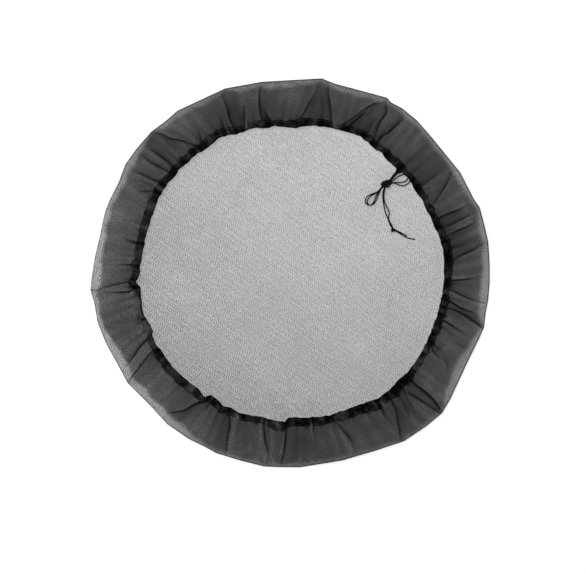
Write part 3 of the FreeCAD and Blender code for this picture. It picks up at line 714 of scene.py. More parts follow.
# Places where the hem is pulled flat and pale: angle, half width, amount.
paleHem = [
    (15.0, 1.0, 0.4), (24.5, 0.8, 0.3), (28.5, 3.0, 0.5), (54.5, 1.6, 0.5), (59.2, 0.6, 0.3),
    (64.5, 1.6, 0.3), (73.2, 1.3, 0.9), (80.8, 0.9, 0.6), (95.0, 1.2, 0.4), (103.0, 1.6, 0.5),
    (106.6, 0.5, 0.9), (113.8, 0.4, 0.6), (121.5, 1.5, 0.4), (127.2, 0.5, 0.6), (130.8, 0.5, 0.4),
    (147.0, 0.4, 0.7), (154.5, 1.6, 0.5), (150.5, 0.8, 0.3), (162.5, 1.2, 0.6), (172.5, 2.0, 0.3),
    (176.3, 0.4, 0.7), (184.0, 0.5, 0.3), (192.0, 5.5, 1.0), (200.5, 2.6, 0.9), (206.8, 1.8, 0.7),
    (214.0, 0.5, 0.4), (219.5, 1.2, 0.5), (230.0, 3.0, 0.5), (237.8, 0.3, 0.5), (249.2, 0.6, 0.9),
    (259.2, 0.5, 0.8), (261.0, 0.4, 0.6), (265.0, 1.2, 0.7), (289.5, 2.0, 0.6), (302.9, 0.4, 0.7),
    (305.4, 0.9, 0.7), (309.4, 0.5, 0.5), (324.0, 2.6, 0.5), (329.5, 1.8, 0.5), (339.2, 0.4, 0.3),
    (346.3, 0.6, 0.4), (353.0, 1.0, 0.4), (359.2, 1.0, 0.3),
]
# Where the skirt lies over the hem: angle, half width, amount.
laps = [
    (190.0, 3.2, 1.0), (194.3, 2.6, 1.0), (199.0, 2.0, 0.5), (203.0, 1.2, 0.4), (73.2, 1.3, 0.8),
    (106.6, 0.5, 0.8), (249.6, 0.9, 0.8), (260.6, 0.8, 0.6), (305.0, 1.0, 0.6), (278.0, 0.5, 0.6),
    (162.5, 0.8, 0.3), (265.0, 1.2, 0.3),
]
# Which angle of the rim each angle of the hem is gathered from, where the folds slant.
gathers = [
    (-5, -7), (4.6, 9.0), (20.6, 21.6), (40, 40), (57.6, 57.6), (74.6, 77.0), (87.4, 83.5), (100.5, 98.4),
    (112.2, 112.6), (127.4, 132.4), (138.4, 139.2), (160, 160), (184.4, 185.0), (203.8, 208.7),
    (209.6, 214.0), (234.6, 230.4), (247.2, 250.4), (259.6, 262.3), (268.4, 267.4), (288.0, 289.4),
    (316.4, 317.4), (334.0, 330.4), (348.0, 344.5), (355, 353),
]


# Places by angle in degrees and millimetres inside the rim

def unitAt(angles):
    turned = np.radians(angles)
    return np.stack([np.cos(turned), np.sin(turned)], axis=-1)


# Where rays at these angles meet the closed outline of straight sides through points.
def onOutline(points, angles):
    corners = sorted(points, key=lambda point: math.atan2(point[1], point[0]) % fullTurn)
    corners = np.array([corners[-1]] + corners + [corners[0]], dtype=float)
    turns = np.unwrap(np.arctan2(corners[:, 1], corners[:, 0]))
    side = np.searchsorted(turns, np.radians(angles)) - 1
    starts, steps, rays = corners[side], corners[side + 1] - corners[side], unitAt(angles)
    crossed = starts[:, 0] * steps[:, 1] - starts[:, 1] * steps[:, 0]
    reach = crossed / (rays[:, 0] * steps[:, 1] - rays[:, 1] * steps[:, 0])
    return rays * reach[:, None]


# Ring of places, each averaged with its neighbours up to reach away.
def rounded(ring, reach):
    total = np.zeros_like(ring)
    weights = 0.0
    for shift in range(-reach, reach + 1):
        weight = 1.0 - abs(shift) / (reach + 1)
        total += np.roll(ring, shift, axis=0) * weight
        weights += weight
    return total / weights


tableAngles = np.arange(0, 360, 0.1)
wholeRing = np.append(tableAngles, 360.0)
rimRadii = np.hypot(*rounded(onOutline(rimCorners, tableAngles), 2).T)
hemRadii = np.hypot(*rounded(onOutline(hemCorners, tableAngles), 3).T)


def ringAngles(count):
    return np.arange(count) * 360.0 / count


def byTable(angles, radii):
    return np.interp(angles % 360, tableAngles, radii, period=360)


def rimRadius(angles):
    return byTable(angles, rimRadii)


def fromRim(angle, inside):
    return (rimRadius(angle) - inside) * unitAt(angle)


def byAngle(table, angles):
    table = np.array(sorted(table), dtype=float)
    return np.interp(angles % 360, table[:, 0], table[:, 1], period=360)


# Angles counted from middle, half a turn each way.
def awayFrom(middle, angles):
    return (angles - middle + 180) % 360 - 180


# Highest of the bell-shaped spots along the ring: angle, half width in degrees, amount.
def spotsByAngle(spots, angles):
    total = np.zeros_like(angles, dtype=float)
    for middle, half, amount in spots:
        total = np.maximum(total, amount * bell(awayFrom(middle, angles), half))
    return total


# Distance from a line of (angle, inside, strength), on which side, and its strength there.
def besideLine(x, y, route):
    points = np.array([fromRim(*point[:2]) for point in route])
    strengths = [point[2] if len(point) > 2 else 10.0 for point in route]
    nearest = np.full(x.shape, np.inf)
    side, strength = np.zeros(x.shape), np.zeros(x.shape)
    for start, end, first, last in zip(points, points[1:], strengths, strengths[1:]):
        step = end - start
        share = np.clip(((x - start[0]) * step[0] + (y - start[1]) * step[1]) / step.dot(step), 0, 1)
        nearX, nearY = start[0] + share * step[0], start[1] + share * step[1]
        distance = np.hypot(x - nearX, y - nearY)
        closer = distance < nearest
        nearest = np.where(closer, distance, nearest)
        side = np.where(closer, np.sign(nearX * y - nearY * x), side)
        strength = np.where(closer, first + share * (last - first), strength)
    return nearest, side, strength / 10.0


# Place on the flat cloth of each face corner of a closed grid: round the first row, and across.
def clothPlaces(mesh, places, closedRows):
    around = walkedAlong(np.append(places[:, 0], places[:1, 0], axis=0))
    across = np.linalg.norm(np.diff(places, axis=1), axis=2).mean(axis=0)
    if closedRows:
        across = np.append(across, across[-1])
    across = np.append(0.0, np.cumsum(across))
    column, row = np.meshgrid(np.arange(len(places)), np.arange(len(across) - 1), indexing="ij")
    u = np.stack([around[column], around[column + 1], around[column + 1], around[column]], axis=-1)
    v = np.stack([across[row], across[row], across[row + 1], across[row + 1]], axis=-1)
    flat = np.stack([u, v, np.zeros_like(u)], axis=-1).astype(np.float32)
    layer = mesh.attributes.new("clothPlace", "FLOAT_VECTOR", "CORNER")
    layer.data.foreach_set("vector", flat.ravel())


# Flat panel

panel = {
    "columns": 360,
    "rings": 90,
    "level": 0.45,
    "sag": 0.18,
    "waveSizes": (31, 27, 13),
    "waveStarts": (0.7, -0.4),
    "besideHem": 6.0,
    "paintedLightByAngle": [(0, 1.1), (67, 2.6), (112, 3.2), (157, 3.0), (202, 1.45), (247, 1.0), (330, 1.1)],
}


def makePanel(material):
    columns, rings = panel["columns"], panel["rings"]
    first, second, third = panel["waveSizes"]
    firstStart, secondStart = panel["waveStarts"]
    share = (np.arange(rings) + 1)[:, None] / rings
    x, y = np.moveaxis(onOutline(rimCorners, ringAngles(columns)) * share[..., None], -1, 0)
    wave = np.sin(x / first + firstStart) * np.sin(y / second + secondStart) + 0.5 * np.sin((x + y) / third)
    level = panel["level"] + panel["sag"] * wave * (1 - share**6)
    places = np.stack([x, y, level], axis=-1).reshape(-1, 3)
    places = np.vstack([(0.0, 0.0, panel["level"]), places])
    faces = [(0, 1 + i, 1 + (i + 1) % columns) for i in range(columns)]
    for face in gridFaces(rings, columns, closedColumns=False, closedRows=True):
        faces.append(tuple(1 + corner for corner in face))
    mesh = meshFrom("panel_sheet", places * mm, faces)
    # Share by which the netting opens beside the hem's inner edge, more on some sides: painted light against
    # the hem's shadow on the panel.
    x, y = places[:, :2].T
    angles = np.degrees(np.arctan2(y, x))
    fromHem = byTable(angles, hemRadii) - np.hypot(x, y)
    beside = byAngle(panel["paintedLightByAngle"], angles)
    pointValues(mesh, besideHem=beside * bell(fromHem, panel["besideHem"]))
    piece = newPiece("panel_sheet", mesh, material, cover, ["mesh_panel"])


# Creases, painted highlight streaks and soft patches of the skirt, in millimetres and in layers of cloth

folds = {
    "farthest": 75,  # from a crease's middle
    "lineWidth": 0.78,
    "fullFrom": 1.4,
    "shadeSide": (0.85, 1.0),  # share of the reach, and strength
    "otherSide": (0.3, 0.4),
    "lipPlace": 2.8,
    "lipWidth": 2.4,
    "ridge": 2.6,
    "valley": 3.0,
    "valleyWidth": 2.0,
    "undercut": 1.4,
    "shadeLayers": 1.4,
    "lipHighlight": 0.2,
    "darkness": 1.8,
    "darkPower": 1.4,
    "streakRise": 0.8,
    "patchRise": -2.0,
}


# Rise in millimetres, added layers and darkness of the creases at these places. The added layers hold the
# painted shade beside each crease and the painted highlight on its lip; the darkness is a painted shadow
# along the crease line, together with the extra layers folded there.
def creaseField(x, y):
    rise, layers, dark = (np.zeros_like(x) for each in range(3))
    for shadeSide, reach, shade, width, route in creases:
        middle = fromRim(*route[len(route) // 2][:2])
        close = np.hypot(x - middle[0], y - middle[1]) < folds["farthest"]
        nearest, side, strength = besideLine(x[close], y[close], route)
        shaded = side == shadeSide
        (nearReach, nearShade), (farReach, farShade) = folds["shadeSide"], folds["otherSide"]
        under = np.exp(-nearest / np.where(shaded, reach * nearReach, reach * farReach))
        under *= np.minimum(1.0, strength * folds["fullFrom"]) * np.where(shaded, nearShade, farShade)
        # Lip: the raised side of a crease, made paler with fewer layers as a painted highlight.
        lip = bell(nearest - folds["lipPlace"], folds["lipWidth"]) * strength * ~shaded
        valley = folds["valley"] * strength * bell(nearest, folds["valleyWidth"])
        rise[close] += folds["ridge"] * lip - valley - folds["undercut"] * under
        layers[close] += folds["shadeLayers"] * shade * under - folds["lipHighlight"] * lip
        line = bell(nearest, folds["lineWidth"] * width) * strength ** folds["darkPower"]
        dark[close] = np.maximum(dark[close], np.clip(folds["darkness"] * line, 0, 1))
    # Painted highlights: fewer layers along the raised streaks.
    for half, amount, route in highlightStreaks:
        streak = bell(besideLine(x, y, route)[0], half)
        layers -= amount * streak
        rise += folds["streakRise"] * streak
    for angle, inside, along, across, amount in patches:
        middleX, middleY = fromRim(angle, inside)
        cosine, sine = unitAt(angle)
        offX, offY = x - middleX, y - middleY
        spot = bell(offY * cosine - offX * sine, along) * bell(offX * cosine + offY * sine, across)
        layers += amount * spot
        rise += folds["patchRise"] * amount * spot
    return rise, layers, dark


# Skirt: turned up at the rim, over a crown, down to the hem

skirt = {
    "columns": 1740,
    "rollRows": 9,
    "rows": 58,
    "rollRadius": 4.4,
    "rollTurn": 75,
    "foot": 0.8,
    "hemLevel": 8.8,
    "underHem": 1.6,
    "lapWidth": 4.6,
    "lapRise": 2.7,
    "lapEdge": (-2.0, 1.5),
    "crown": 3.6,
    "crownPower": 0.8,
    "bulge": 0.9,
    "bulgeWaves": (9, 26, 3),
    "puckers": 0.8,
    "puckerReach": 8.0,
}
# Layers of netting seen over each other: few in a band along the rim, many inside it.
layering = {
    "bandWave": 0.8,
    "bandWaves": (20, 70, 11),
    "bandBlur": 4.6,
    "bandLayers": [(0, 0.24), (50, 0.37), (67, 0.4), (110, 0.42), (140, 0.2), (150, 0.2), (160, 0.1),
                   (190, -0.26), (222, -0.1), (245, 0.18), (290, 0.48), (315, 0.28), (345, 0.2)],
    "fullLayers": [(15, 0.855), (45, 0.92), (75, 0.94), (105, 0.98), (135, 0.83), (165, 0.72), (195, 0.67),
                   (225, 0.70), (255, 0.80), (285, 0.91), (315, 0.86), (345, 0.75)],
    "rimwards": (-0.12, 50, 15),  # amount, and between which depths it grows
    "besideHem": 0.12,
    "looseAt": 172,  # angle at which the cloth beside the hem is least gathered
    "looseness": 1.3,
    "tucks": 0.25,
    "tuckFrom": -0.3,
    "tuckReach": 16.0,
    "pleats": 0.04,
    "pleatWaves": (50, 130, 41),
    "pinches": 0.1,
    "pinchNoise": (4.5, 51),
    "pinchReach": 6.0,
    "blotches": [(0.025, 15.0, 43), (0.045, 34.0, 44)],
    "creasesInBand": 0.35,
    "bunchReach": 5.0,
    "bunchPower": 1.5,
    "bunchDark": 0.75,
    "bunchMottle": 0.3,
    "bunchNoise": (4.0, 47),
}


def hemRing(angles):
    widths = byAngle(hemWidths, angles) + ringNoise(angles, *hem["widthWaves"]) * hem["widthWaver"]
    return unitAt(angles) * byTable(angles, hemRadii)[..., None], widths


# Waves of the gathered cloth along the hem, which the skirt follows close by.
def hemPucker(angles):
    return ringNoise(angles, *hem["puckerWaves"])


# Reach out from the hem's inner edge, level, and share of the way in from the roll at the rim.
def skirtSection(lengths, widths, over):
    rows, rollRows = skirt["rows"], skirt["rollRows"]
    radius, foot, rolled = skirt["rollRadius"], skirt["foot"], math.radians(skirt["rollTurn"])
    reach, level, share = (np.zeros((len(lengths), rows)) for each in range(3))
    startReach = lengths - radius + radius * math.cos(rolled)
    startLevel = foot + radius * math.sin(rolled)
    endReach = widths - skirt["underHem"] - over * (widths - skirt["lapWidth"])
    endLevel = skirt["hemLevel"] + over * skirt["lapRise"]
    for row in range(rows):
        if row < rollRows:
            turned = rolled * row / (rollRows - 1)
            reach[:, row] = lengths - radius + radius * math.cos(turned)
            level[:, row] = foot + radius * math.sin(turned)
        else:
            t = (row - rollRows + 1) / (rows - rollRows)
            reach[:, row] = startReach + (endReach - startReach) * t
            line = startLevel + (endLevel - startLevel) * t
            level[:, row] = line + skirt["crown"] * math.sin(math.pi * t) ** skirt["crownPower"]
            share[:, row] = t
    return reach, level, share


# Layers of cloth at each place, and how dark its tucks are, from what the creases add.
def skirtLayers(x, y, added, dark, fromHem, gathered, puckers, pleatAngles):
    here = np.degrees(np.arctan2(y, x))
    inside = rimRadius(here) - np.hypot(x, y)
    band = byAngle(bandDepths, here) + layering["bandWave"] * ringNoise(here, *layering["bandWaves"])
    few = byAngle(layering["bandLayers"], here)
    tucks = np.clip(layering["tuckFrom"] - puckers, 0, 1.6) - 0.25
    loose = np.clip(layering["looseness"] * np.cos(np.radians(here - layering["looseAt"])), 0, 1)
    rimwards, outer, inner = layering["rimwards"]
    many = byAngle(layering["fullLayers"], here) + rimwards * smoothStep(inside, outer, inner)
    many += layering["besideHem"] * (1 - loose) * np.exp(-fromHem / skirt["puckerReach"]) * gathered
    many += layering["tucks"] * tucks * np.exp(-fromHem / layering["tuckReach"]) * gathered
    many += layering["pleats"] * ringNoise(pleatAngles, *layering["pleatWaves"])[:, None]
    pinches = layering["pinches"] * np.clip(planeNoise(x, y, *layering["pinchNoise"]), -0.5, 2)
    many += pinches * np.exp(-fromHem / layering["pinchReach"]) * gathered
    for amount, *noise in layering["blotches"]:
        many += amount * planeNoise(x, y, *noise)
    blur, least = layering["bandBlur"], layering["creasesInBand"]
    layers = few + (many - few) * smoothStep(inside, band - blur, band + blur)
    layers += added * (least + (1 - least) * smoothStep(inside, 2, band)) * np.clip(many, 0, 1)
    # Beside the hem's bunches the skirt turns near black too: painted shade between the gathers.
    tight = spotsByAngle(bunches, here) * gathered
    tight *= np.exp(-((fromHem / layering["bunchReach"]) ** layering["bunchPower"]))
    mottle = layering["bunchDark"] + layering["bunchMottle"] * planeNoise(x, y, *layering["bunchNoise"])
    return layers, np.maximum(dark, np.clip(tight * mottle, 0, 1))


def makeSkirt(material):
    rimAngles = ringAngles(skirt["columns"])
    table = np.array(sorted(gathers), dtype=float)
    hemAngles = rimAngles + np.interp(rimAngles, table[:, 1], table[:, 0] - table[:, 1], period=360)
    inner, widths = hemRing(hemAngles)
    over = spotsByAngle(laps, hemAngles)
    outwards = unitAt(rimAngles) * rimRadius(rimAngles)[:, None] - inner
    lengths = np.hypot(*outwards.T)
    outwards /= lengths[:, None]
    reach, level, share = skirtSection(lengths, widths, over)
    x = inner[:, :1] + outwards[:, :1] * reach
    y = inner[:, 1:] + outwards[:, 1:] * reach

    rise, added, dark = creaseField(x, y)
    puckers = hemPucker(hemAngles)[:, None]
    fromHem = np.clip(reach - widths[:, None], 0, None)
    gathered = share > 0
    body = np.sin(np.pi * share) ** 0.5
    level += body * (rise + skirt["bulge"] * ringNoise(rimAngles, *skirt["bulgeWaves"])[:, None])
    nearHem = np.exp(-fromHem / skirt["puckerReach"]) * gathered
    level += skirt["puckers"] * puckers * nearHem * np.clip(1.4 - share, 0, 1)
    pleatAngles = hemAngles + 0.5 * (rimAngles - hemAngles)
    layers, dark = skirtLayers(x, y, added, dark, fromHem, gathered, puckers, pleatAngles)

    places = np.stack([x, y, level], axis=-1) * mm
    mesh = meshFrom("skirt_sheet", places.reshape(-1, 3), gridFaces(*x.shape))
    # pale: where the skirt lies over the hem, given painted light in the material.
    lap = over[:, None] * smoothStep(widths[:, None] - reach, *skirt["lapEdge"])
    pointValues(mesh, layers=layers, fold=np.clip(dark, 0, 1), pale=lap)
    clothPlaces(mesh, places, closedRows=False)
    return newPiece("skirt_sheet", mesh, material, cover, ["gathered_skirt"])


# Hem: flat tube of folded netting, bunched up on the drawstring in it

hem = {
    "columns": 2160,
    "section": 20,
    "middle": 8.9,
    "height": 4.0,
    "acrossPower": 0.7,
    "upPower": 0.8,
    "pucker": 0.45,
    "puckerWaves": (60, 170, 31),
    "puckerByBunch": (0.6, 1.2),  # where loose, and more where bunched
    "smallPucker": 0.24,
    "smallWaves": (220, 420, 33),
    "smallByBunch": (0.5, 1.3),
    "exitAngle": 43.25,
    "exitTuft": 9.0,
    "tuftHalfTurn": 1.3,
    "tuftThinner": 0.35,
    "bunchFatter": 0.1,
    "bunchInwards": 0.6,
    "edgeWaver": 0.22,
    "edgeWaves": (40, 130, 37),
    "broadWaver": 0.308,
    "broadWaves": (16, 60, 38),
    "widthWaver": 0.7,
    "widthWaves": (25, 95, 39),
    "edgeShifts": [(0, -1.5), (67, -0.35), (112, -1.05), (157, -2.1), (202, -1.3), (247, -0.75),
                   (292, -0.6), (330, 0.3)],
    "lumps": 0.22,
    "lumpNoise": (3.6, 53),
}
# Shade of the hem: its tone by angle, dark lines along it as place across, width and amount, and noise.
hemTone = {
    "byAngle": [(0, 0.38), (45, 0.22), (75, 0.45), (105, 0.05), (135, 0.35), (165, -0.15), (195, -0.2),
                (225, 0.05), (255, 0.12), (285, 0.38), (315, 0.44), (345, 0.12)],
    "lines": [(0.05, 0.09, 0.5), (0.93, 0.08, 0.3), (0.55, 0.09, 0.15)],
    "nose": (0.04, 0.17, 1.9),
    "bunch": 0.9,
    "valleys": 0.35,
    "fine": 0.3,
    "fineWaves": (160, 340, 35),
    "pale": 0.75,
    "lump": 0.1,
    "broad": 0.16,
    "broadNoise": (9.0, 57),
    "streak": 0.22,
    "streakWaves": (30, 90, 61),
    "paleLight": 0.55,
    "lapLight": 0.4,
    "patchLight": 0.07,
}


# Squared circle of the hem's section: how far across it is from its nose, and how far up.
def hemSection(turned):
    cosine, sine = np.cos(turned), np.sin(turned)
    across = 0.5 - 0.5 * np.sign(cosine) * np.abs(cosine) ** hem["acrossPower"]
    return across, np.sign(sine) * np.abs(sine) ** hem["upPower"]


# Way round the section at which the hem's top is so far across.
def turnedAt(across):
    cosine = 1 - 2 * across
    return np.arccos(np.sign(cosine) * np.abs(cosine) ** (1 / hem["acrossPower"]))


# Places on the hem's surface: turned goes round its section, from its nose over its top.
def hemPlaces(angles, turned):
    inner, widths = hemRing(angles)
    bunch = spotsByAngle(bunches, angles)
    loose, bunched = hem["puckerByBunch"]
    pucker = hemPucker(angles) * hem["pucker"] * (loose + bunched * bunch)
    loose, bunched = hem["smallByBunch"]
    small = ringNoise(angles, *hem["smallWaves"]) * hem["smallPucker"] * (loose + bunched * bunch)
    edge = ringNoise(angles, *hem["edgeWaves"]) * hem["edgeWaver"] - hem["bunchInwards"] * bunch
    edge += byAngle(hem["edgeShifts"], angles) + ringNoise(angles, *hem["broadWaves"]) * hem["broadWaver"]
    tuft = np.clip(1 - np.abs(awayFrom(hem["exitAngle"], angles)) / hem["tuftHalfTurn"], 0, 1)
    edge -= hem["exitTuft"] * tuft
    across, up = hemSection(turned)
    ripple = (pucker + small * np.cos(3 * across)) * np.where(up > 0, 1, -1) * np.abs(up)
    places = np.zeros(np.shape(up * widths) + (3,))
    places[..., :2] = inner + unitAt(angles) * (edge + (widths - edge) * across)[..., None]
    height = (1.0 + hem["bunchFatter"] * bunch - hem["tuftThinner"] * tuft * (1 - across)) * hem["height"]
    lump = hem["lumps"] * planeNoise(places[..., 0], places[..., 1], *hem["lumpNoise"])
    places[..., 2] = hem["middle"] + up * (height / 2 + lump) + ripple
    return places


def makeHem(material):
    tone = hemTone
    angles = ringAngles(hem["columns"])[:, None]
    turned = fullTurn * np.arange(hem["section"]) / hem["section"]
    across = hemSection(turned)[0]
    places = hemPlaces(angles, turned)
    bunch, pale, lap = (spotsByAngle(spots, angles) for spots in (bunches, paleHem, laps))
    lump = planeNoise(places[..., 0], places[..., 1], *hem["lumpNoise"])
    broad = planeNoise(places[..., 0], places[..., 1], *tone["broadNoise"])
    slowest, fastest, seed = tone["streakWaves"]
    streak = np.hstack([ringNoise(angles, slowest, fastest, seed + int(share * 7)) for share in across])
    dark = byAngle(tone["byAngle"], angles) + tone["bunch"] * bunch - tone["pale"] * pale
    # Darker in the valleys of the puckers: painted shade.
    dark = dark + tone["valleys"] * np.clip(-0.2 - 0.8 * hemPucker(angles), 0, 1)
    dark = dark + tone["fine"] * np.clip(ringNoise(angles, *tone["fineWaves"]), 0, 1)
    for place, width, amount in tone["lines"]:
        dark = dark + amount * bell(across - place, width)
    # Nose: dark line at the hem's inner edge under the laps, a painted shadow of the lapping skirt.
    place, width, amount = tone["nose"]
    nose = lap * bell(across - place, width)
    # Paler where the hem's lumps rise and darker in their dips: painted light that follows the relief.
    dark += amount * nose - tone["lump"] * lump - tone["broad"] * broad - tone["streak"] * streak
    # Paler where the hem is pulled flat, and paler under the laps, where it is painted light against the
    # skirt's shade.
    light = (tone["paleLight"] * pale + tone["lapLight"] * lap) * (0.75 + 0.25 * broad + 0.2 * streak)
    light = light * (1 - nose) + tone["patchLight"] * np.clip(broad - 0.7, 0, 2)
    places *= mm
    mesh = meshFrom("hem_band", places.reshape(-1, 3), gridFaces(*dark.shape, closedRows=True))
    pointValues(mesh, bunch=np.clip(dark, 0, 1), pale=np.clip(light, 0, 1))
    clothPlaces(mesh, places, closedRows=True)
    return newPiece("hem_band", mesh, material, cover, ["hem_casing"])


# Drawstring's loose ends: routes from the slit in the hem: x, y, and lift from lying on the panel

cord = {
    "diameter": 1.8,
    "lying": 2.0,
    "slit": (164.7, 154.9),
    "exitLevel": 8.9,
    "exitSpread": 3.0,
    "alongHem": (0.7324, -0.6809),
    "exitTurn": [(0.3, 0.0), (3.0, 3.8), (10.0, 5.0), (24.0, 5.6)],  # along the hem, and outwards
    "ringSpread": 10.0,
    "ringStep": 4.0,
    "ringPointStep": 2.0,
    "shareOfHem": 0.5,
    "sides": 12,
    "step": 0.6,
    "meltedEnd": (0.95, 0.82, 0.5),
}
leadA = [(-4.9, -1.5, 6.6), (-8.4, -5.4, 5.8), (-11.7, -10.3, 4.8), (-15.6, -15.9, 4.0)]
leadB = [(-2.4, -4.0, 6.5), (-7.0, -6.6, 5.6), (-10.3, -11.2, 4.6), (-14.2, -16.8, 4.0)]
leftLoopOuter = [
    (-25.6, -22.5, 1.9), (-30.8, -30.6, 1.2), (-36.6, -34.5, 0.5), (-44.6, -36.7, 0.0),
    (-50.6, -40.6, 0.0), (-52.6, -46.9, 0.0), (-49.6, -52.2, 0.0), (-43.8, -53.2, 0.0),
    (-38.2, -50.2, 0.0), (-34.2, -42.6, 0.2), (-31.8, -34.6, 0.8), (-25.8, -24.6, 2.0),
]
leftLoopInner = [
    (-25.2, -22.9, 4.2), (-31.0, -30.9, 3.2), (-35.6, -35.0, 2.3), (-41.6, -37.6, 1.6),
    (-46.8, -41.4, 1.5), (-49.5, -46.8, 1.7), (-48.0, -52.4, 1.9), (-42.6, -53.4, 1.9),
    (-39.6, -48.6, 1.8), (-37.4, -43.0, 1.8), (-34.4, -36.0, 2.8), (-25.4, -24.0, 4.6),
]
rightLoopOuter = [
    (-15.3, -17.7, 1.8), (-11.2, -13.6, 1.6), (-6.0, -7.2, 1.4), (-0.6, -3.6, 0.8), (5.2, -2.6, 0.2),
    (11.6, -5.6, 0.0), (15.8, -11.6, 0.0), (14.6, -18.4, 0.0), (8.6, -23.0, 0.0), (2.4, -24.0, 0.0),
    (-3.8, -21.6, 0.2), (-9.0, -18.9, 0.9), (-15.1, -20.5, 1.6),
]
rightLoopInner = [
    (-16.7, -19.5, 4.0), (-10.4, -15.9, 3.4), (-4.6, -10.8, 2.0), (1.0, -7.9, 0.8), (7.0, -6.4, 0.3),
    (11.3, -8.6, 0.2), (12.2, -13.2, 0.2), (9.0, -16.8, 0.2), (3.6, -18.6, 0.8), (-2.2, -18.9, 1.8),
    (-13.9, -19.0, 3.4),
]
tailA = [
    (-22.4, -22.9, 2.2), (-25.8, -34.0, 0.3), (-25.2, -47.5, 0.0), (-23.2, -57.1, 0.0),
    (-21.6, -65.0, 0.0), (-17.8, -73.0, 0.0), (-15.9, -80.0, 0.0), (-12.0, -87.2, 0.7),
]
tailB = [
    (-21.2, -22.9, 2.8), (-24.3, -34.0, 1.5), (-23.9, -47.5, 1.3), (-19.4, -56.5, 0.5),
    (-15.4, -63.5, 0.0), (-16.8, -69.0, 0.8), (-17.6, -73.5, 1.8), (-14.4, -79.5, 1.0),
    (-10.8, -86.2, 1.2),
]
tipShort = [(-7.0, -90.0, 0.9), (-3.0, -91.7, 0.6), (3.1, -95.0, 0.2), (10.3, -99.0, 0.0)]
tipLong = [
    (-9.0, -90.6, 0.7), (-4.6, -92.6, 0.2), (1.6, -96.4, 0.0), (9.0, -100.8, 0.0),
    (16.4, -103.5, 0.0), (23.2, -104.3, 0.0),
]


# Place beside the slit, so far along the hem and so far out from the middle of the cover.
def atSlit(along, outwards=0.0):
    return np.array(cord["slit"]) + along * np.array(cord["alongHem"]) + outwards * unitAt(hem["exitAngle"])


def exitPlace(side):
    x, y = atSlit(side * cord["exitSpread"])
    return (x * mm, y * mm, cord["exitLevel"] * mm)


# Points about a step apart along the smooth spline that has these control points.
def splineLine(controls, step):
    curve = bpy.data.curves.new("route", "CURVE")
    curve.dimensions = "3D"
    curve.resolution_u = 10
    spline = curve.splines.new("NURBS")
    spline.points.add(len(controls) - 1)
    for point, place in zip(spline.points, controls):
        point.co = (*place, 1.0)
    spline.order_u = 3
    spline.use_endpoint_u = True
    holder = bpy.data.objects.new("route", curve)
    mesh = bpy.data.meshes.new_from_object(holder)
    line = np.array([tuple(vertex.co) for vertex in mesh.vertices])
    bpy.data.objects.remove(holder)
    bpy.data.curves.remove(curve)
    bpy.data.meshes.remove(mesh)
    walked = walkedAlong(line)
    evenly = np.linspace(0, walked[-1], int(walked[-1] / step) + 1)
    return np.stack([np.interp(evenly, walked, line[:, axis]) for axis in range(3)], axis=1)


# Round tube along a line, with its length and its way round kept for the braid.
def tubeMesh(name, line, diameter, sides, closedEnds=True, sizes=None):
    sizes = np.ones(len(line)) if sizes is None else sizes
    directions = np.gradient(line, axis=0)
    directions /= np.linalg.norm(directions, axis=1)[:, None]
    side = np.cross(directions[0], (0.0, 0.0, 1.0))
    turned = fullTurn * np.arange(sides) / sides
    places = []
    for place, direction, size in zip(line, directions, sizes):
        side = side - direction * np.dot(side, direction)
        side /= np.linalg.norm(side)
        up = np.cross(side, direction)
        ring = np.outer(np.cos(turned), side) + np.outer(np.sin(turned), up)
        places.extend(place + diameter / 2 * size * ring)
    faces = gridFaces(len(line), sides, closedColumns=False, closedRows=True)
    if closedEnds:
        last = (len(line) - 1) * sides
        faces += [tuple(reversed(range(sides))), tuple(range(last, last + sides))]
    mesh = meshFrom(name, places, faces)
    around = np.abs(2 * np.arange(sides) / sides - 1)
    pointValues(mesh, along=np.repeat(walkedAlong(line), sides), around=np.tile(around, len(line)))
    return mesh


def makeCord(name, side, stretches, nodes, material):
    controls = [exitPlace(side)]
    for x, y, lift in sum(stretches, []):
        controls.append(((cord["slit"][0] + x) * mm, (cord["slit"][1] + y) * mm, (cord["lying"] + lift) * mm))
    line = splineLine(controls, cord["step"] * mm)
    sizes = np.ones(len(line))
    sizes[-3:] = cord["meltedEnd"]
    mesh = tubeMesh(name, line, cord["diameter"] * mm, cord["sides"], sizes=sizes)
    print(f"{name} is {walkedAlong(line)[-1]:.3f} m long")
    return newPiece(name, mesh, material, bow, nodes), line


# Whole run of the cord through the hem, with its ends turned out at the slit.
def makeDrawstring(material):
    ends = [[atSlit(side * (cord["exitSpread"] + along), outwards) for along, outwards in cord["exitTurn"]]
            for side in (1, -1)]
    spread = cord["ringSpread"]
    angles = np.arange(hem["exitAngle"] - spread, hem["exitAngle"] - 360 + spread, -cord["ringStep"])
    inner, widths = hemRing(angles)
    ring = inner + unitAt(angles) * widths[:, None] * cord["shareOfHem"]
    controls = [(x * mm, y * mm, hem["middle"] * mm) for x, y in [*ends[0], *ring, *ends[1][::-1]]]
    line = splineLine(controls, cord["ringPointStep"] * mm)
    mesh = tubeMesh("drawstring_in_hem", line, cord["diameter"] * mm, cord["sides"])
    newPiece("drawstring_in_hem", mesh, material, cover, ["drawstring"])


knotTubes = {
    "pointsPerTurn": 28,
    "pitch": 0.9,
    "bendTurns": 2.6,
    "waveTurns": 3,
    "sides": 10,
}
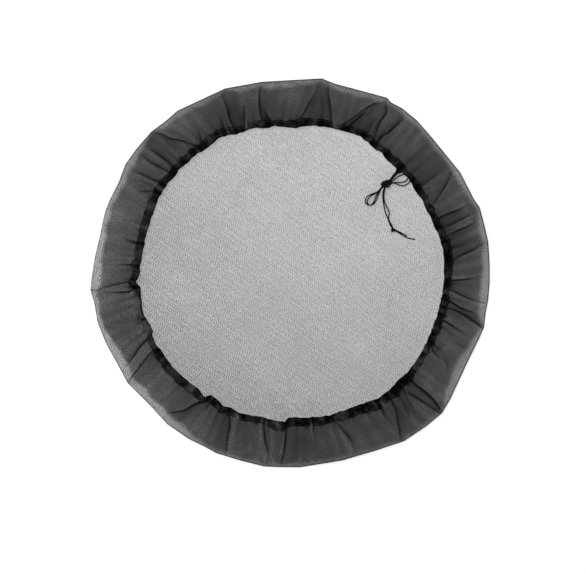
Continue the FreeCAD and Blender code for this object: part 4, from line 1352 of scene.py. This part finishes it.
# Knots: middle from the slit, wraps as place along the knot, start and radius, and cores as place
# across, place up and bend; the bight is a strand that stands out below.
bowKnot = {
    "middle": (-20.0, -20.3),
    "level": 5.6,
    "turn": 17.0,
    "wraps": [(-7.0, 1.2, 3.3), (-4.6, 0.3, 4.1), (-1.9, 2.0, 4.5), (0.8, 4.1, 4.6), (3.4, 5.2, 4.1),
              (6.0, 3.4, 3.1)],
    "wrapTurns": 1.25,
    "lean": 0.9,
    "flatness": 0.86,
    "wrapCord": 1.9,
    "cores": [(-2.0, -1.3, 0.8), (1.9, -1.5, -0.7), (0.2, 1.6, 0.9), (-1.6, 1.2, -0.8), (1.7, 1.1, 0.5)],
    "coreSteps": 20,
    "coreHalf": 9.0,
    "coreWaist": 0.35,
    "coreWave": 0.5,
    "coreFall": 0.0,
    "coreEnds": (0.45, 1.6),  # least size, and how fast it grows inwards
    "coreCord": 2.1,
    "bightSteps": 16,
    "bightAlong": (0.6, 2.6),  # middle, and half size
    "bightAcross": (3.2, 2.7),
    "bightDown": 0.6,
    "bightCord": 1.9,
    "bightSides": 10,
}
tailKnot = {
    "middle": (-10.3, -90.0),
    "level": 3.3,
    "turn": -20.0,
    "wraps": [(-1.1, 0.0, 2.0), (0.9, 2.6, 2.0)],
    "wrapTurns": 1.2,
    "lean": 0.5,
    "flatness": 0.72,
    "wrapCord": 1.7,
    "cores": [(-0.9, 0.0, 0.0), (0.9, 0.0, 0.0)],
    "coreSteps": 14,
    "coreHalf": 3.4,
    "coreWaist": 0.3,
    "coreWave": 0.0,
    "coreFall": 0.2,
    "coreEnds": (0.5, 1.2),
    "coreCord": 1.8,
    "bightSteps": 12,
    "bightAlong": (-0.6, 0.9),
    "bightAcross": (1.4, 1.9),
    "bightDown": 0.8,
    "bightCord": 1.4,
    "bightSides": 8,
}


# One mesh out of several tubes.
def joined(name, meshes):
    places, faces, along, around = [], [], [], []
    for mesh in meshes:
        first = len(places)
        places += [tuple(vertex.co) for vertex in mesh.vertices]
        faces += [tuple(first + corner for corner in polygon.vertices) for polygon in mesh.polygons]
        along += [item.value for item in mesh.attributes["along"].data]
        around += [item.value for item in mesh.attributes["around"].data]
        bpy.data.meshes.remove(mesh)
    whole = meshFrom(name, places, faces)
    pointValues(whole, along=along, around=around)
    return whole


# Places on the cover from millimetres along a knot, across it and above its middle.
def inKnot(knot, along, across, up):
    x, y = (np.add(cord["slit"], knot["middle"]) + along[:, None] * unitAt(knot["turn"])
            + across[:, None] * unitAt(knot["turn"] + 90)).T
    return np.stack(np.broadcast_arrays(x, y, knot["level"] + up), axis=1) * mm


def makeKnot(name, knot, node, material):
    parts = []
    turns = knot["wrapTurns"]
    count = int(knotTubes["pointsPerTurn"] * turns)
    share = np.arange(count + 1) / count
    for place, start, radius in knot["wraps"]:
        turned = start + fullTurn * turns * share
        along = place + knot["lean"] * np.cos(turned) + knotTubes["pitch"] * (share - 0.5) * turns
        up = radius * knot["flatness"] * np.sin(turned)
        line = inKnot(knot, along, radius * np.cos(turned), up)
        parts.append(tubeMesh("wrap", line, knot["wrapCord"] * mm, knotTubes["sides"]))
    t = np.linspace(-1, 1, knot["coreSteps"] + 1)
    swell = 1 - knot["coreWaist"] * t * t
    least, growth = knot["coreEnds"]
    sizes = np.minimum(1.0, least + growth * (1 - np.abs(t)))
    for across, up, bend in knot["cores"]:
        wave = knot["coreWave"] * np.cos(t * knotTubes["waveTurns"] + across)
        sideways = across * swell + bend * np.sin(t * knotTubes["bendTurns"])
        line = inKnot(knot, t * knot["coreHalf"], sideways, up * swell + wave - knot["coreFall"] * t)
        parts.append(tubeMesh("core", line, knot["coreCord"] * mm, knotTubes["sides"], sizes=sizes))
    turned = np.linspace(0, math.pi, knot["bightSteps"] + 1)
    (along, length), (across, depth) = knot["bightAlong"], knot["bightAcross"]
    line = inKnot(knot, along + length * np.cos(turned), -across - depth * np.sin(turned), -knot["bightDown"])
    parts.append(tubeMesh("bight", line, knot["bightCord"] * mm, knot["bightSides"]))
    return newPiece(name, joined(name, parts), material, bow, [node])


# Stitches along the hem and round the slit, and the sewn edge at the rim

stitches = {
    "length": 2.4,
    "gap": 0.9,
    "thickness": 0.45,
    "fromOuterEdge": 2.0,
    "rows": [(0.0, 0.4, -0.2), (0.2, 1.0, 0.1), (0.5, 1.0, 0.2), (0.8, 1.0, 0.1), (1.0, 0.4, -0.2)],
    "columns": [(-1, 0.0), (0, 1.4), (1, 0.0)],  # side, and height in thicknesses
}
slitEdge = {
    "halfLength": 5.2,
    "halfHeight": 0.62,
    "core": 0.6,
    "corePoints": 72,
    "coreSides": 6,
    "loops": 44,
    "loopPoints": 8,
    "loopSize": (0.75, 0.5),
    "thread": 0.4,
    "threadSides": 5,
}
rimSeam = {
    "thickness": 1.4,
    "sides": 8,
    "inside": [(0, 0.3), (67, 0.1), (112, 0.35), (160, 0.9), (200, 1.0), (240, 0.6), (290, 0.5), (330, 0.8)],
    "level": 0.85,
    "layers": [(0, 0.7), (45, 0.95), (90, 0.85), (135, 0.2), (180, -0.05), (225, 0.12), (270, 0.75),
               (315, 0.4)],
    "overlockPitch": 3.2,
    "overlockPoints": 10,
    "overlockSides": 4,
    "overlockSize": (0.55, 0.52),
    "overlockThread": 0.32,
}


# Stitches as small ridges, each with rows of share of its length, thickness and rise.
def makeHemStitches(material):
    def seamLine(angles):
        return hemPlaces(angles, turnedAt(1 - stitches["fromOuterEdge"] / byAngle(hemWidths, angles)))

    walked = walkedAlong(seamLine(wholeRing))
    count = int(walked[-1] / (stitches["length"] + stitches["gap"]))
    starts = np.arange(count) * walked[-1] / count
    rows, columns = len(stitches["rows"]), len(stitches["columns"])
    share, thick, rise = np.array(stitches["rows"]).T
    thick = thick * stitches["thickness"] / 2
    angles = np.interp(starts[:, None] + share * stitches["length"], walked, wholeRing)
    places = np.repeat(seamLine(angles)[:, :, None], columns, axis=2)
    for column, (sign, up) in enumerate(stitches["columns"]):
        places[:, :, column, :2] += unitAt(angles) * sign * thick[:, None]
        places[:, :, column, 2] += rise + up * thick
    faces = []
    for number in range(count):
        for corners in gridFaces(rows, columns, closedColumns=False):
            faces.append(tuple(number * rows * columns + corner for corner in corners))
    mesh = meshFrom("hem_stitches", places.reshape(-1, 3) * mm, faces)
    return newPiece("hem_stitches", mesh, material, cover)


# Buttonhole edge round the slit in the hem's nose: a core cord covered with close loops of thread.
def makeSlitEdge(material):
    radius = byTable(hem["exitAngle"], hemRadii)

    def onNose(turned):
        along = np.degrees(slitEdge["halfLength"] * np.cos(turned) / radius)
        return hemPlaces(hem["exitAngle"] + along, slitEdge["halfHeight"] * np.sin(turned))

    core = onNose(np.arange(slitEdge["corePoints"] + 1) * fullTurn / slitEdge["corePoints"])
    parts = [tubeMesh("core", core * mm, slitEdge["core"] * mm, slitEdge["coreSides"], closedEnds=False)]
    inwards = np.append(-unitAt(hem["exitAngle"]), 0.0)
    turns = np.arange(slitEdge["loops"] * slitEdge["loopPoints"] + 1) / slitEdge["loopPoints"]
    base = onNose(turns * fullTurn / slitEdge["loops"])
    outOfSlit = base - core[:-1].mean(axis=0)
    outOfSlit -= inwards * (outOfSlit @ inwards)[:, None]
    outOfSlit /= np.linalg.norm(outOfSlit, axis=1)[:, None]
    loop = (fullTurn * turns)[:, None]
    out, deep = slitEdge["loopSize"]
    thread = base + outOfSlit * out * np.cos(loop) + inwards * deep * np.sin(loop)
    parts.append(tubeMesh("loops", thread * mm, slitEdge["thread"] * mm, slitEdge["threadSides"]))
    mesh = joined("slit_edge_stitches", parts)
    return newPiece("slit_edge_stitches", mesh, material, cover)


# Places round the folded edge: turned goes round the seam, and the sizes are shares of its thickness.
def seamPlaces(angles, turned, out, up):
    middle = rimRadius(angles) - byAngle(rimSeam["inside"], angles)
    reach = middle + out * rimSeam["thickness"] * np.cos(turned)
    level = rimSeam["level"] + up * rimSeam["thickness"] * np.sin(turned)
    x, y = np.moveaxis(unitAt(angles), -1, 0) * reach
    return np.stack(np.broadcast_arrays(x, y, level), axis=-1) * mm


# Edge where panel and skirt are folded and sewn together.
def makeRimEdge(material):
    angles = tableAngles[::2, None]
    sides = rimSeam["sides"]
    places = seamPlaces(angles, np.arange(sides) * fullTurn / sides, 0.5, 0.5)
    mesh = meshFrom("rim_edge", places.reshape(-1, 3), gridFaces(len(angles), sides, closedRows=True))
    layers = np.repeat(byAngle(rimSeam["layers"], angles), sides)
    pointValues(mesh, layers=layers, fold=np.zeros_like(layers))
    clothPlaces(mesh, places, closedRows=True)
    return newPiece("rim_edge", mesh, material, cover)


# Overlock thread winding round the folded edge.
def makeOverlock(material):
    walked = walkedAlong(unitAt(wholeRing) * rimRadius(wholeRing)[:, None])
    count = int(walked[-1] / rimSeam["overlockPitch"])
    turns = np.arange(count * rimSeam["overlockPoints"] + 1) / rimSeam["overlockPoints"]
    angles = np.interp(turns * walked[-1] / count, walked, wholeRing)
    line = seamPlaces(angles, fullTurn * turns, *rimSeam["overlockSize"])
    mesh = tubeMesh("rim_overlock", line, rimSeam["overlockThread"] * mm, rimSeam["overlockSides"])
    return newPiece("rim_overlock", mesh, material, cover)


def build():
    makeCamera()
    makeStage()
    weaveGroup = makeWeaveGroup()
    cordMaterial = makeCordMaterial()
    threadMaterial = makeThreadMaterial()
    print("camera, stage and materials")

    cordA, lineA = makeCord(
        "cord_end_a", -1, (leadA, leftLoopOuter, rightLoopOuter, tailA, tipShort),
        ("cord_lead_a", "left_loop_outer", "right_loop_outer", "cord_tail_a", "cord_tip_short"), cordMaterial)
    cordB, lineB = makeCord(
        "cord_end_b", 1, (leadB, leftLoopInner, rightLoopInner, tailB, tipLong),
        ("cord_lead_b", "left_loop_inner", "right_loop_inner", "cord_tail_b", "cord_tip_long"), cordMaterial)
    bowWraps = makeKnot("bow_knot_wraps", bowKnot, "bow_knot", cordMaterial)
    tailWraps = makeKnot("tail_knot_wraps", tailKnot, "tail_knot", cordMaterial)
    print("cords and knots")

    makePanel(makePanelMaterial(weaveGroup))
    print("panel")
    skirtMaterial = makeSkirtMaterial(weaveGroup)
    skirtPiece = makeSkirt(skirtMaterial)
    hemPiece = makeHem(makeHemMaterial(weaveGroup))
    hemStitches = makeHemStitches(threadMaterial)
    rimEdge = makeRimEdge(skirtMaterial)
    overlock = makeOverlock(threadMaterial)
    slitStitches = makeSlitEdge(threadMaterial)
    makeDrawstring(cordMaterial)
    print("skirt, hem, drawstring and stitches")


build()
